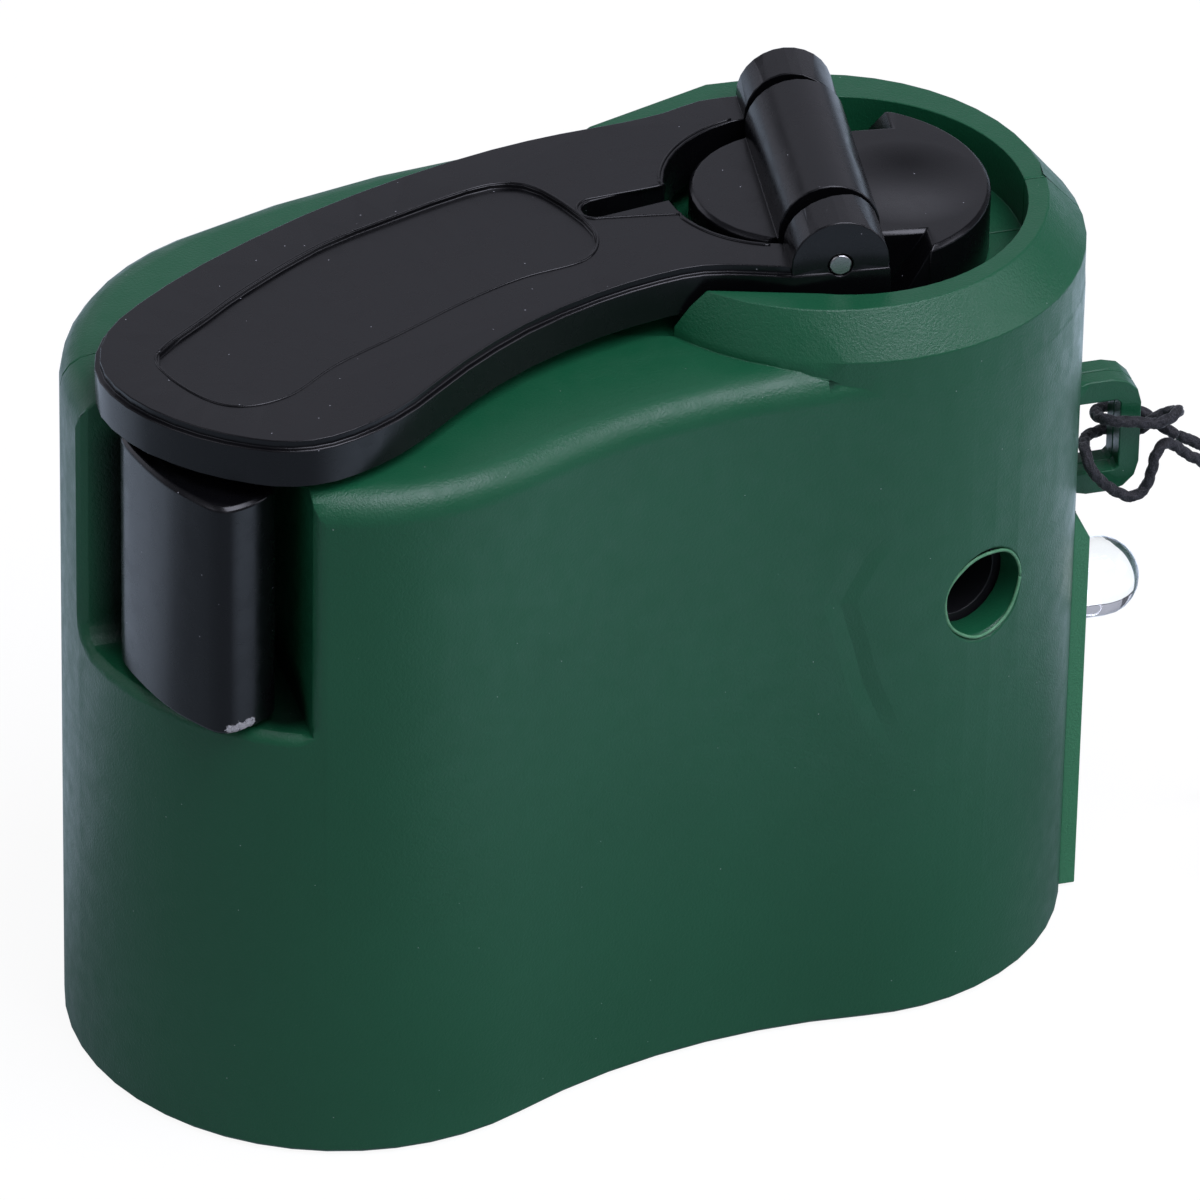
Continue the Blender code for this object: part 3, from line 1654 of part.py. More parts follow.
def lamp(clear):
    """The clear lamp: a round dome on a short barrel, with a flange inside the wall."""
    inner_wall = right_lobe_radius - wall
    flange_face = math.sqrt(inner_wall**2 - (lamp_flange_radius - seam_y) ** 2) - piece_gap
    foot = flange_face - lamp_flange_length
    dome = [polar(lamp_radius, bearing, (0, 0)) for bearing in range(0, 91, 15)]
    profile = [(0, foot), (lamp_flange_radius, foot), (lamp_flange_radius, flange_face)]
    profile += [(lamp_radius, flange_face)]
    profile += [(r, lamp_centre_x + z) for r, z in dome[:-1]] + [(0, lamp_centre_x + lamp_radius)]
    bulb = moved(turned(profile, 24), facing((1, 0, 0), (0, seam_y, lamp_height)))
    name_piece(bulb, "led_lamp", clear)


def lamp_switch(dark, black):
    """The slide switch inside the back wall, and its knob through the slot."""
    inner = back_wall_y(wall)
    face = inner - piece_gap
    body = box(
        (switch_x - switch_length / 2, face - switch_depth, switch_height - switch_tall / 2),
        (switch_x + switch_length / 2, face, switch_height + switch_tall / 2),
    )
    channel = box(
        (
            switch_x - knob_length / 2 - switch_travel - 2 * running_gap,
            face - knob_foot - running_gap,
            switch_height - knob_tall / 2 - 2 * running_gap,
        ),
        (
            switch_x + knob_length / 2 + switch_travel + 2 * running_gap,
            face + overrun,
            switch_height + knob_tall / 2 + 2 * running_gap,
        ),
    )
    name_piece(cut(body, channel), "lamp_switch_body", dark)
    knob = box(
        (
            switch_x - switch_travel - knob_length / 2,
            face - knob_foot,
            switch_height - knob_tall / 2,
        ),
        (
            switch_x - switch_travel + knob_length / 2,
            back_wall_y(0) + knob_reach,
            switch_height + knob_tall / 2,
        ),
    )
    name_piece(knob, "lamp_switch_slider", black)


def back_wall_y(inset):
    """The back wall's Y over the switch, at the end that lies nearest the middle."""
    radius = back_radius - inset
    reach = switch_x + switch_length / 2 - back_centre[0]
    return back_centre[1] + math.sqrt(radius**2 - reach**2)


# Lanyard cord and the generator's two wires


def cord_tube(name, points, radius, finish, sides):
    """A round cord along points: a poly curve with a bevel and filled ends."""
    curve = bpy.data.curves.new(name, "CURVE")
    curve.dimensions = "3D"
    curve.bevel_depth = radius
    curve.bevel_resolution = sides
    curve.use_fill_caps = True
    line = curve.splines.new("POLY")
    line.points.add(len(points) - 1)
    for place, point in zip(line.points, points):
        place.co = (*point, 1)
    curve.materials.append(finish)
    made = bpy.data.objects.new(name, curve)
    bpy.context.scene.collection.objects.link(made)
    return made


def spaced(points, step):
    """Points a steady step apart on the smooth curve through the given ones."""
    fine = [Vector(point) for point in smooth(points, 16, False)]
    lengths = [0.0]
    for before, after in zip(fine, fine[1:]):
        lengths.append(lengths[-1] + (after - before).length)
    count = max(2, round(lengths[-1] / step))
    picked = []
    place = 0
    for number in range(count + 1):
        goal = lengths[-1] * number / count
        while place < len(fine) - 2 and lengths[place + 1] < goal:
            place += 1
        share = (goal - lengths[place]) / (lengths[place + 1] - lengths[place])
        picked.append(fine[place].lerp(fine[place + 1], share))
    return picked


def coil_route():
    """Two layers: in at a steady rate, up a layer in half a turn, and out again."""
    reach = cord_spacing * coil_turns_in / 2
    outer = coil_mean_radius + reach
    inner = coil_mean_radius - reach
    turns = 2 * coil_turns_in + 0.5
    count = round(turns * coil_points_per_turn)
    bottom = cord_diameter / 2
    centre = (coil_centre_x, coil_centre_y)
    route = []
    for step in range(count + 1):
        turn = turns * step / count
        if turn <= coil_turns_in:
            radius = outer - (outer - inner) * turn / coil_turns_in
            height = bottom
        elif turn <= coil_turns_in + 0.5:
            radius = inner
            rise = (turn - coil_turns_in) * 2
            height = bottom + cord_spacing * (1 - math.cos(math.pi * rise)) / 2
        else:
            radius = inner + (outer - inner) * (turn - coil_turns_in - 0.5) / coil_turns_in
            height = bottom + cord_spacing
        route.append(Vector((*polar(radius, coil_start_bearing + 360 * turn, centre), height)))
    first = (route[0] - route[1]).normalized() * coil_end_run
    last = (route[-1] - route[-2]).normalized() * coil_end_run
    return [route[0] + first] + route + [route[-1] + last]


def least_gap(points, skip):
    """The least gap between a cord's surfaces, on points this many places apart or more."""
    least = math.inf
    for place, point in enumerate(points):
        for other in points[place + skip :]:
            least = min(least, (point - other).length)
    return least - cord_diameter


def lanyard(nylon_cord):
    """The hitch on the eye, two free strands, and the coil between them."""
    radius = cord_diameter / 2
    hitch = spaced(hitch_route, cord_diameter)
    coil = coil_route()
    out_end = coil[0] + (coil[0] - coil[1]).normalized() * piece_gap
    back_start = coil[-1] + (coil[-1] - coil[-2]).normalized() * piece_gap
    out = spaced(strand_out_route + [tuple(out_end)], strand_step_share * cord_diameter)
    back = spaced([tuple(back_start)] + strand_back_route, strand_step_share * cord_diameter)
    cord_tube("lanyard_hitch", hitch, radius, nylon_cord, 2)
    cord_tube("lanyard_strand_out", out, radius, nylon_cord, 2)
    cord_tube("lanyard_coil", coil, radius, nylon_cord, 1)
    cord_tube("lanyard_strand_back", back, radius, nylon_cord, 2)
    total = sum(
        (after - before).length
        for run in (hitch, out, coil, back)
        for before, after in zip(run, run[1:])
    )
    print("least gap of the coil to itself, mm:", round(1000 * least_gap(coil, 6), 2))
    print("least gap of the hitch to itself, mm:", round(1000 * least_gap(hitch, 4), 2))
    print("length of the cord, mm:", round(1000 * total, 1))


def generator_leads(finish):
    """Two insulated wires from the terminals to the board's edge."""
    cap_bottom = can_bottom - end_cap_thickness / 2
    for side in (-1, 1):
        x = generator_place[0] + side * terminal_spacing / 2
        y = generator_place[1] + terminal_width / 2 + lead_radius + running_gap
        lane = generator_place[1] + can_half_width + (5.5 - 1.5 * side) * lead_radius
        low = cap_bottom - terminal_length / 2
        end_x = board_left_x - lead_radius - running_gap
        end_height = lead_height + 3 * side * lead_radius
        route = [
            (x, y, low),
            (x, (y + lane) / 2, low - lead_radius),
            (x + 2 * lead_radius, lane, low + lead_radius),
            (x + 8 * lead_radius, lane, (low + end_height) / 2),
            ((x + end_x) / 2, lane, end_height),
            (end_x - 4 * lead_radius, board_y + lead_radius, end_height),
            (end_x, board_y + lead_radius, end_height),
        ]
        name = "generator_lead_1" if side < 0 else "generator_lead_2"
        cord_tube(name, spaced(route, 5 * lead_radius), lead_radius, finish, 1)


def build():
    """Every piece of the generator, stowed."""
    for old in list(bpy.data.objects):
        bpy.data.objects.remove(old)
    green = material("housing_green", (0.020, 0.092, 0.052), 0.42)
    black = material("crank_black", (0.016, 0.016, 0.020), 0.32)
    steel = material("steel", (0.56, 0.56, 0.55), 0.30, 1.0)
    dark_steel = material("dark_iron", (0.09, 0.09, 0.10), 0.55, 0.6)
    nylon = material("gear_nylon", (0.78, 0.77, 0.72), 0.45)
    cream = material("cap_cream", (0.80, 0.72, 0.55), 0.50)
    copper = material("brass", (0.75, 0.52, 0.24), 0.32, 1.0)
    board_green = material("board_green", (0.02, 0.16, 0.07), 0.38)
    dark = material("socket_black", (0.012, 0.012, 0.013), 0.45)
    white = material("tongue_white", (0.80, 0.80, 0.78), 0.50)
    clear = material("lamp_clear", (0.90, 0.93, 0.94), 0.06, 0.0, 0.35)
    red = material("wire_red", (0.55, 0.03, 0.02), 0.40)
    cord = material("cord_black", (0.010, 0.010, 0.012), 0.70)

    crank_axis = axis_empty("crank_axis", (0, 0, 0), (0, 0, crank_bearing))
    hinge_axis = axis_empty("hinge_axis", (hinge_offset, 0, hinge_height), (0, arm_drop, 0), crank_axis)
    handle_axis = axis_empty(
        "handle_axis", (grip_along, grip_across, 0), (0, -arm_drop, 0), hinge_axis
    )

    housing(green)
    shell_screws(steel)
    crank_hub(black, crank_axis)
    crank_shaft(steel, crank_axis)
    crank_gear(nylon, crank_axis)
    shaft_fixings(steel, crank_axis)
    hub_bush(nylon)
    crank_arm(black, hinge_axis)
    hinge_pin(steel, hinge_axis)
    handle_fixings(steel, hinge_axis)
    handle_grip(black, handle_axis)
    gear_plates(nylon, steel)
    gear_train(nylon, steel)
    generator(steel, dark_steel, cream, copper)
    circuit_board(board_green, dark, copper, steel)
    charging_outlet(steel, white)
    power_socket(dark, steel)
    lamp(clear)
    lamp_switch(dark, black)
    generator_leads(red)
    lanyard(cord)


build()
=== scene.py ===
# %% [markdown]
# # A hand crank generator, dressed
# A pocket generator has a moulded green housing, a black crank that folds flat over it, a clear
# lamp and a thin cord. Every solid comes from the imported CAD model, in metres, so nothing has to be
# fitted. This lesson gives each of them a finish, and makes the pieces whose detail is finer than
# the solids.

import json
import math

import bmesh
import bpy
import numpy as np
from mathutils import Matrix, Vector


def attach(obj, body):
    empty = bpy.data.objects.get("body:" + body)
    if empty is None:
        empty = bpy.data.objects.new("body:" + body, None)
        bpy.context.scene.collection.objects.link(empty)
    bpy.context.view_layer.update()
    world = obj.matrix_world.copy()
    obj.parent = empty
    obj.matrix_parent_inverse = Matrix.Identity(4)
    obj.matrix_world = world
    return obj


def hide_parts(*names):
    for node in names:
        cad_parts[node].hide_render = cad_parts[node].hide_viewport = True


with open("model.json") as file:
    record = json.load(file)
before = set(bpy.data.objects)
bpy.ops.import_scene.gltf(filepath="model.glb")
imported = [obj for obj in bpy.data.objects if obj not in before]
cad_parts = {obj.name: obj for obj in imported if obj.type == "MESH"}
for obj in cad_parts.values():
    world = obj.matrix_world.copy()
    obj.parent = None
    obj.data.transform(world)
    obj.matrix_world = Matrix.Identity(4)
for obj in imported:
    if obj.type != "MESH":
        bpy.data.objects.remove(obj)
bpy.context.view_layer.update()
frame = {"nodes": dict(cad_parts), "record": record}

# %% [markdown]
# ## The camera
# The photograph looks down on the long side from the front left. Its camera is far away with a
# long lens, so upright edges stay nearly parallel. A camera could be moved by eye until the picture
# fits, but numbers solved from the object's own edges hold for every later step. Three angles turn
# the camera, and one known point, the middle of the collar's rim, sets where it stands: that point
# has to fall on one pixel.

# %% Place the camera
FRAME_PIXELS = 1200
AZIMUTH, ELEVATION, ROLL = -16.6, 33.5, 1.15
DISTANCE = 0.895
FOCAL_PIXELS = 12400
SENSOR_WIDTH = 36
CLIP_NEAR, CLIP_FAR = 0.05, 20
SEEN_POINT = Vector((0, 0, 0.0604))
SEEN_AT = (840, 194)


def camera_axes(azimuth, elevation, roll):
    """Right, up and back of a camera: back is the view direction reversed, and the roll turns
    right and up round it."""
    a, e, r = (math.radians(angle) for angle in (azimuth, elevation, roll))
    back = Vector((math.sin(a) * math.cos(e), -math.cos(a) * math.cos(e), math.sin(e)))
    right = Vector((0, 0, 1)).cross(back).normalized()
    up = back.cross(right)
    return right * math.cos(r) + up * math.sin(r), up * math.cos(r) - right * math.sin(r), back


def place_camera():
    """The camera stands so that SEEN_POINT falls on the pixel SEEN_AT: it is DISTANCE along the
    view, and aside by the pixel's offset from the middle over the focal length in pixels."""
    right, up, back = camera_axes(AZIMUTH, ELEVATION, ROLL)
    aside = (SEEN_AT[0] - FRAME_PIXELS / 2) / FOCAL_PIXELS
    above = (FRAME_PIXELS / 2 - SEEN_AT[1]) / FOCAL_PIXELS
    place = SEEN_POINT + DISTANCE * (back - aside * right - above * up)
    lens = bpy.data.cameras.new("photo_camera")
    lens.sensor_width = SENSOR_WIDTH
    lens.lens = FOCAL_PIXELS / FRAME_PIXELS * SENSOR_WIDTH
    lens.clip_start, lens.clip_end = CLIP_NEAR, CLIP_FAR
    camera = bpy.data.objects.new("photo_camera", lens)
    bpy.context.scene.collection.objects.link(camera)
    turn = Matrix((right, up, back)).transposed().to_4x4()
    camera.matrix_world = Matrix.Translation(place) @ turn
    bpy.context.scene.camera = camera
    return camera


camera = place_camera()
print("camera at", [round(x, 3) for x in camera.location], "lens", camera.data.lens, "mm")

# %% [markdown]
# ## Building materials from nodes
# A real finish is a few effects on top of each other: a colour, how rough it is, a grain, a mark.
# In Blender each effect is a node or two. They could be placed by hand in the node editor, but code
# can be read, repeated and changed in one place. This helper keeps that code short: it adds a node,
# sets its sockets by name, and links what is given as a socket.

# %% A helper for nodes
MOST_NOISE = 0.3, 0.7  # nearly all values of a noise lie between these
SPECK_CORE = 0.7


class Finish:
    """A material with a Principled shader, and a short way to add nodes to it."""

    def __init__(self, name, **constants):
        self.material = bpy.data.materials.new(name)
        self.material.use_nodes = True
        self.tree = self.material.node_tree
        self.shader = self.tree.nodes["Principled BSDF"]
        self.put(self.shader, constants)
        self.place = self.add("ShaderNodeTexCoord").outputs["Object"]

    def put(self, node, sockets):
        """Sets sockets by name: a socket is linked, and anything else is its value."""
        for name, value in sockets.items():
            socket = node.inputs[name if isinstance(name, int) else name.replace("_", " ")]
            if isinstance(value, bpy.types.NodeSocket):
                self.tree.links.new(value, socket)
            else:
                socket.default_value = value
        return node

    def add(self, kind, settings=None, **sockets):
        """A new node of a kind: its settings are menus and switches, and the rest are sockets."""
        node = self.tree.nodes.new(kind)
        for name, value in (settings or {}).items():
            setattr(node, name, value)
        return self.put(node, sockets)

    def math(self, operation, *values):
        """The result of a math node on these values."""
        node = self.add("ShaderNodeMath", {"operation": operation})
        return self.put(node, dict(enumerate(values))).outputs[0]

    def noise(self, scale, detail=2.0, roughness=0.5, vector=None):
        """Cloudy noise from 0 to 1, scale in patches per metre."""
        node = self.add("ShaderNodeTexNoise", Scale=scale, Detail=detail, Roughness=roughness)
        self.put(node, {"Vector": vector or self.place})
        return node.outputs["Fac"]

    def ramp(self, value, low, high, to_low=0.0, to_high=1.0):
        """A value from low to high, mapped to to_low to to_high and held beyond them."""
        node = self.add("ShaderNodeMapRange", {"clamp": True})
        names = ("Value", "From Min", "From Max", "To Min", "To Max")
        return self.put(node, dict(zip(names, (value, low, high, to_low, to_high)))).outputs[0]

    def ease(self, value, low, high):
        """0 at low and 1 at high, level at both and steepest between: 3 t^2 - 2 t^3."""
        node = self.add("ShaderNodeMapRange", {"interpolation_type": "SMOOTHSTEP"})
        return self.put(node, {"Value": value, "From Min": low, "From Max": high}).outputs[0]

    def blend(self, share, first, second):
        """Two colours, mixed by a share: the first, plus the share of the way to the second. On
        this node the colours are sockets 6 and 7, and their mix is output 2."""
        node = self.add("ShaderNodeMix", {"data_type": "RGBA"})
        return self.put(node, {0: share, 6: first, 7: second}).outputs[2]

    def vector_math(self, operation, *values, output=0):
        """The result of a vector math node on these values: a vector from output 0, or a number
        from output 1."""
        node = self.add("ShaderNodeVectorMath", {"operation": operation})
        return self.put(node, dict(enumerate(values))).outputs[output]

    def away_from(self, start, end=None):
        """The distance in metres from a point, or from the straight line between two. The line's
        nearest point is its start plus a share of it: the offset's dot product with the line over
        the line's length squared, held between 0 and 1."""
        if end is None:
            return self.vector_math("DISTANCE", self.place, start, output=1)
        line = Vector(end) - Vector(start)
        offset = self.vector_math("SUBTRACT", self.place, start)
        share = self.vector_math("DOT_PRODUCT", offset, line / line.length_squared, output=1)
        held = self.math("MINIMUM", self.math("MAXIMUM", share, 0.0), 1.0)
        along = self.add("ShaderNodeVectorMath", {"operation": "SCALE"})
        self.put(along, {0: line, 3: held})
        return self.vector_math("DISTANCE", offset, along.outputs[0], output=1)

    def specks(self, per_metre, radius):
        """1 on scattered round specks of dust, 0 between them, with a soft rim outside SPECK_CORE
        of their radius."""
        cells = self.add("ShaderNodeTexVoronoi", Scale=per_metre, Vector=self.place)
        reach = radius * per_metre
        return self.ramp(cells.outputs["Distance"], reach * SPECK_CORE, reach, 1.0, 0.0)

    def bump(self, height, distance, strength=1.0, normal=None):
        """A normal tilted by the slope of a height, whose 1 stands for a distance in metres. A
        normal that is given is tilted further, so bumps can lie on each other."""
        node = self.add("ShaderNodeBump", Height=height, Distance=distance, Strength=strength)
        if normal:
            self.put(node, {"Normal": normal})
        return node.outputs["Normal"]


def rgb(red, green, blue):
    """A colour as 0 to 255 per channel on screen, turned into the shader's linear values by the
    screen's standard curve: a straight line near black, and a power of 2.4 above it."""
    share = np.array([red, green, blue]) / 255
    linear = np.where(share <= 0.04045, share / 12.92, ((share + 0.055) / 1.055) ** 2.4)
    return (*linear.tolist(), 1.0)


print("a mid grey of 128 is", round(rgb(128, 128, 128)[0], 3), "in the shader")

# %% [markdown]
# ## The cord
# The lanyard is one thin braided cord: it is hitched round the housing's eye, its two strands hang
# down, and the length that the photograph doesn't show lies in one small coil beside the end. A
# curve object with a round bevel would do for a smooth cord, but not for a braid, whose radius
# changes round and along it. So a smooth curve through the points of the CAD tubes' route is the
# centreline, and a tube with the braid's crossing ridges is worked out along it.

# %% The route's points
MM = 0.001

hitch_points = MM * np.array([
    (26.3, -1.0, 36.1), (25.3, -0.6, 36.8), (24.2, 0.4, 37.5), (22.9, 1.1, 37.9),
    (21.6, 1.1, 38.1), (20.5, 0.4, 38.4), (19.9, -1.2, 39.0), (19.9, -2.8, 39.7),
    (20.6, -3.7, 39.9), (22.0, -3.8, 39.7), (23.5, -3.8, 39.3), (24.6, -3.7, 39.4),
    (25.5, -3.2, 39.6), (25.8, -2.4, 39.2), (25.1, -1.6, 38.6), (24.1, -1.3, 37.9),
    (23.6, -0.8, 37.0), (23.3, 0.3, 36.3), (22.2, 1.1, 36.1), (20.9, 1.0, 36.1),
    (19.7, 0.2, 36.3), (19.0, -1.4, 36.7), (18.6, -3.0, 37.1), (18.7, -3.9, 36.3),
    (19.6, -4.0, 35.0), (20.8, -4.0, 33.9), (22.0, -4.0, 33.3), (23.0, -3.9, 33.8),
    (23.5, -3.8, 35.1), (23.9, -3.5, 36.4), (24.8, -3.0, 36.9), (25.8, -2.7, 36.2),
    (26.5, -2.6, 35.5),
])
out_points = MM * np.array([
    (26.7, -2.6, 35.3), (28.0, -2.4, 34.3), (29.6, -2.6, 32.5), (30.8, -3.2, 29.6),
    (31.4, -4.0, 25.0), (31.6, -5.0, 20.0), (31.3, -6.1, 14.5), (30.8, -7.2, 9.0),
    (30.5, -8.3, 4.8), (30.9, -9.5, 2.1), (32.0, -10.9, 0.9), (33.3, -12.3, 0.6),
])
back_points = MM * np.array([
    (43.7, -1.5, 1.9), (42.0, 0.2, 1.2), (39.6, 2.1, 0.7), (36.8, 3.2, 0.6),
    (34.1, 3.2, 0.8), (32.2, 2.5, 2.2), (31.3, 1.7, 5.2), (31.1, 1.1, 10.0),
    (31.4, 0.6, 15.0), (31.8, 0.3, 20.5), (31.8, 0.0, 26.0), (31.0, -0.4, 30.5),
    (29.4, -0.8, 33.8), (27.7, -1.0, 35.3), (26.5, -1.0, 36.0),
])
print("route points:", len(hitch_points), len(out_points), len(back_points))

# %% [markdown]
# The coil lies in two flat layers, as a cord falls when it is let down by hand. Its points could be
# listed like the others, but a spiral is shorter to give as a turn and a radius.

# %% The coil beside the end
CORD, CORD_SPACING = 0.0010, 0.00165
COIL_MEAN, COIL_TURNS_IN = 0.0056, 2.0
COIL_CENTRE = np.array([0.0405, -0.0090])
COIL_START = 225.0


def coil_points(per_turn=24):
    """The coil: the radius falls at a steady rate, stays for half a turn while the cord climbs
    one layer on a cosine, and then grows again at the same rate."""
    reach = CORD_SPACING * COIL_TURNS_IN / 2
    turns = 2 * COIL_TURNS_IN + 0.5
    turn = np.linspace(0, turns, round(turns * per_turn) + 1)
    inward = np.clip(turn / COIL_TURNS_IN, 0, 1)
    outward = np.clip((turn - COIL_TURNS_IN - 0.5) / COIL_TURNS_IN, 0, 1)
    climb = np.clip((turn - COIL_TURNS_IN) * 2, 0, 1)
    radius = COIL_MEAN + reach * (1 - 2 * inward + 2 * outward)
    angle = np.radians(COIL_START + 360 * turn)
    height = CORD / 2 + CORD_SPACING * (1 - np.cos(np.pi * climb)) / 2
    x = COIL_CENTRE[0] + radius * np.cos(angle)
    y = COIL_CENTRE[1] + radius * np.sin(angle)
    return np.stack([x, y, height], axis=1)


route = np.vstack([hitch_points, out_points, coil_points(), back_points])
print("with the coil:", len(route), "points")

# %% [markdown]
# The line through these points has to bend as softly as a cord does. Straight pieces would show
# corners, and a Bezier curve needs handles beside each point. A cubic between each two points
# takes its slopes from their neighbours, so it needs only the points.

# %% A smooth line through the points
CORD_STEP = 0.00018


def smooth_path(points, step, between=12):
    """A curve through the points, a steady step apart. Between two points it is the cubic whose
    slope at each point is half the way from the point before to the point after. It is worked out
    at a few shares between them first, and then at even distances along itself."""
    padded = np.vstack([2 * points[0] - points[1], points, 2 * points[-1] - points[-2]])
    share = np.linspace(0, 1, between, endpoint=False)[None, :, None]
    p0, p1, p2, p3 = (padded[k : len(padded) - 3 + k][:, None, :] for k in range(4))
    cubic = (
        p1
        + 0.5 * share * (p2 - p0)
        + share**2 * (p0 - 2.5 * p1 + 2 * p2 - 0.5 * p3)
        + share**3 * (1.5 * (p1 - p2) + 0.5 * (p3 - p0))
    )
    fine = np.vstack([cubic.reshape(-1, 3), points[-1]])
    along = np.append(0, np.cumsum(np.linalg.norm(np.diff(fine, axis=0), axis=1)))
    goal = np.linspace(0, along[-1], max(2, round(along[-1] / step)) + 1)
    return np.stack([np.interp(goal, along, fine[:, k]) for k in range(3)], axis=1)


cord_line = smooth_path(route, CORD_STEP)
cord_length = float(np.linalg.norm(np.diff(cord_line, axis=0), axis=1).sum())
print("cord length", round(cord_length, 4), "m in", len(cord_line), "steps")

# %% [markdown]
# ## Tubes along a path
# A tube needs a pair of directions square to its path at every step, and they must not spin. Each
# pair is the one before it, turned as little as the path turns. Only the directions at the steps
# are worked out one after the other. The points round them are one array.

# %% Directions that don't spin


def steady_frames(path):
    """Two directions square to a path at every point. Each is the last one, less the part of it
    that lies along the new direction of travel."""
    travel = np.gradient(path, axis=0)
    travel /= np.linalg.norm(travel, axis=1)[:, None]
    side = np.empty_like(path)
    start = np.eye(3)[np.argmin(np.abs(travel[0]))]
    for place, direction in enumerate(travel):
        start = start - direction * (start @ direction)
        start = start / np.linalg.norm(start)
        side[place] = start
    return side, np.cross(travel, side)


print("side directions along the cord:", len(steady_frames(cord_line)[0]))

# %% A closed tube


def grid_faces(rows, columns):
    """The four-sided faces of a grid whose last column joins its first. Each face goes round a
    point, the one after it in its row, and the two beside these in the next row."""
    row, column = np.meshgrid(np.arange(rows - 1), np.arange(columns), indexing="ij")
    after = (column + 1) % columns
    here, beyond = row * columns, (row + 1) * columns
    quads = np.stack([here + column, here + after, beyond + after, beyond + column], axis=-1)
    return quads.reshape(-1, 4)


def tube(path, radius, around, relief=0.0, lead=1.0, strands=8):
    """Points and faces of a closed tube. A point is the path's, plus a reach times the sum of side
    times the cosine and other times the sine of an angle round it. The reach is the radius, less
    a relief where neither of two crossing helices of strands lies on top."""
    side, other = steady_frames(path)
    angle = np.linspace(0, 2 * np.pi, around, endpoint=False)[None, :]
    along = np.append(0, np.cumsum(np.linalg.norm(np.diff(path, axis=0), axis=1)))[:, None]
    phase = 2 * np.pi * along / lead
    right = np.cos(strands / 2 * (angle + phase))
    left = np.cos(strands / 2 * (angle - phase))
    top = np.maximum(right, left)
    reach = radius - relief * (1 - top) / 2
    cosine, sine = np.cos(angle)[..., None], np.sin(angle)[..., None]
    ring = side[:, None, :] * cosine + other[:, None, :] * sine
    points = (path[:, None, :] + ring * reach[..., None]).reshape(-1, 3)
    faces = grid_faces(len(path), around).tolist()
    last = (len(path) - 1) * around
    faces.append(list(range(around))[::-1])
    faces.append([last + k for k in range(around)])
    return points, faces


print("a tube of 4 rings and 3 sides has", len(grid_faces(4, 3)), "faces round it")

# %% [markdown]
# ## From points to a piece
# Every new piece is made in the same way: its points and faces go into a mesh with its finish. It
# also says which body it rides on, so that it moves with it. A function does that once for all of
# them, so none of them forgets it.

# %% A mesh that rides on a body


def mesh_piece(name, points, faces, finish, body):
    """A smooth-shaded mesh object at the origin, in a finish, that rides on a body."""
    mesh = bpy.data.meshes.new(name)
    mesh.from_pydata(np.asarray(points).tolist(), [], [list(face) for face in faces])
    mesh.polygons.foreach_set("use_smooth", np.full(len(mesh.polygons), True))
    mesh.materials.append(finish)
    mesh.validate()
    piece = bpy.data.objects.new(name, mesh)
    bpy.context.scene.collection.objects.link(piece)
    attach(piece, body)
    return piece


# %% [markdown]
# ## The cord's nylon
# The nylon is black with the soft sheen of fine fibres. The strands' ridges change the cord's
# outline, so they are in the mesh. The filaments in each strand are too fine for that, and a noise
# makes them in the bump, and in the colour as a painted highlight: grey on their tops.

# %% The cord's finish and mesh
FIBRES_PER_METRE, FIBRE_DEPTH, FIBRE_HIGHLIGHT_TOPS = 9000, 0.00006, (0.42, 0.68)
NYLON_BLACK, NYLON_HIGHLIGHT_GREY = rgb(15, 15, 18), rgb(58, 58, 64)
cord_finish = Finish("cord_braid", Roughness=0.62, Sheen_Weight=0.25, Sheen_Roughness=0.4)
fibre = cord_finish.noise(FIBRES_PER_METRE, 3)
# A painted highlight: grey where the fibres' noise is high.
fibre_highlight = cord_finish.ramp(fibre, *FIBRE_HIGHLIGHT_TOPS)
cord_finish.put(cord_finish.shader, {
    "Base Color": cord_finish.blend(fibre_highlight, NYLON_BLACK, NYLON_HIGHLIGHT_GREY),
    "Normal": cord_finish.bump(fibre, FIBRE_DEPTH),
})

CORD_AROUND, STRANDS = 20, 6
BRAID_RADIUS, BRAID_RELIEF, BRAID_LEAD = 0.00045, 0.00016, 0.0034
points, faces = tube(cord_line, BRAID_RADIUS, CORD_AROUND, BRAID_RELIEF, BRAID_LEAD, STRANDS)
lanyard = mesh_piece("lanyard_cord", points, faces, cord_finish.material, "housing")
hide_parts("lanyard_hitch", "lanyard_strand_out", "lanyard_coil", "lanyard_strand_back")
print("cord mesh:", len(points), "points")

# %% [markdown]
# ## The floor
# The photograph is cut out on white. A white floor would do that by itself, but it would also wash
# pale over the lower walls. So the floor is white only to the eye and through clear resin, and to
# light it is a mid grey. A quarter of its own shading is kept, so the object's soft shadow still
# lies on it.
#
# The walls mirror the floor, more strongly the flatter they are seen. The photograph's left wall
# has a pale veil, and its front wall pales towards the top. Both fit a table that is dim at the
# object's foot, and brighter behind it and in a band some way in front. So that is the floor that
# reflections see: a dim sky colour, raised by smooth steps of the distance from the foot line,
# which lies under the housing.

# %% The floor that reflections see
FOOT_LINE = (-0.038, 0, 0), (0, 0, 0)
BAND_STARTS, BAND_ENDS, BAND_ACROSS = (0.030, 0.090), (0.115, 0.095), (-0.040, 0.005)
BACK_STARTS = 0.0, 0.030
MIRROR_LEAST, MIRROR_BAND, MIRROR_BACK = 0.36, 1.0, 0.60
FLOOR_GREY = (0.4, 0.4, 0.4, 1)
floor_white = Finish("floor_white", Base_Color=FLOOR_GREY, Roughness=0.9)


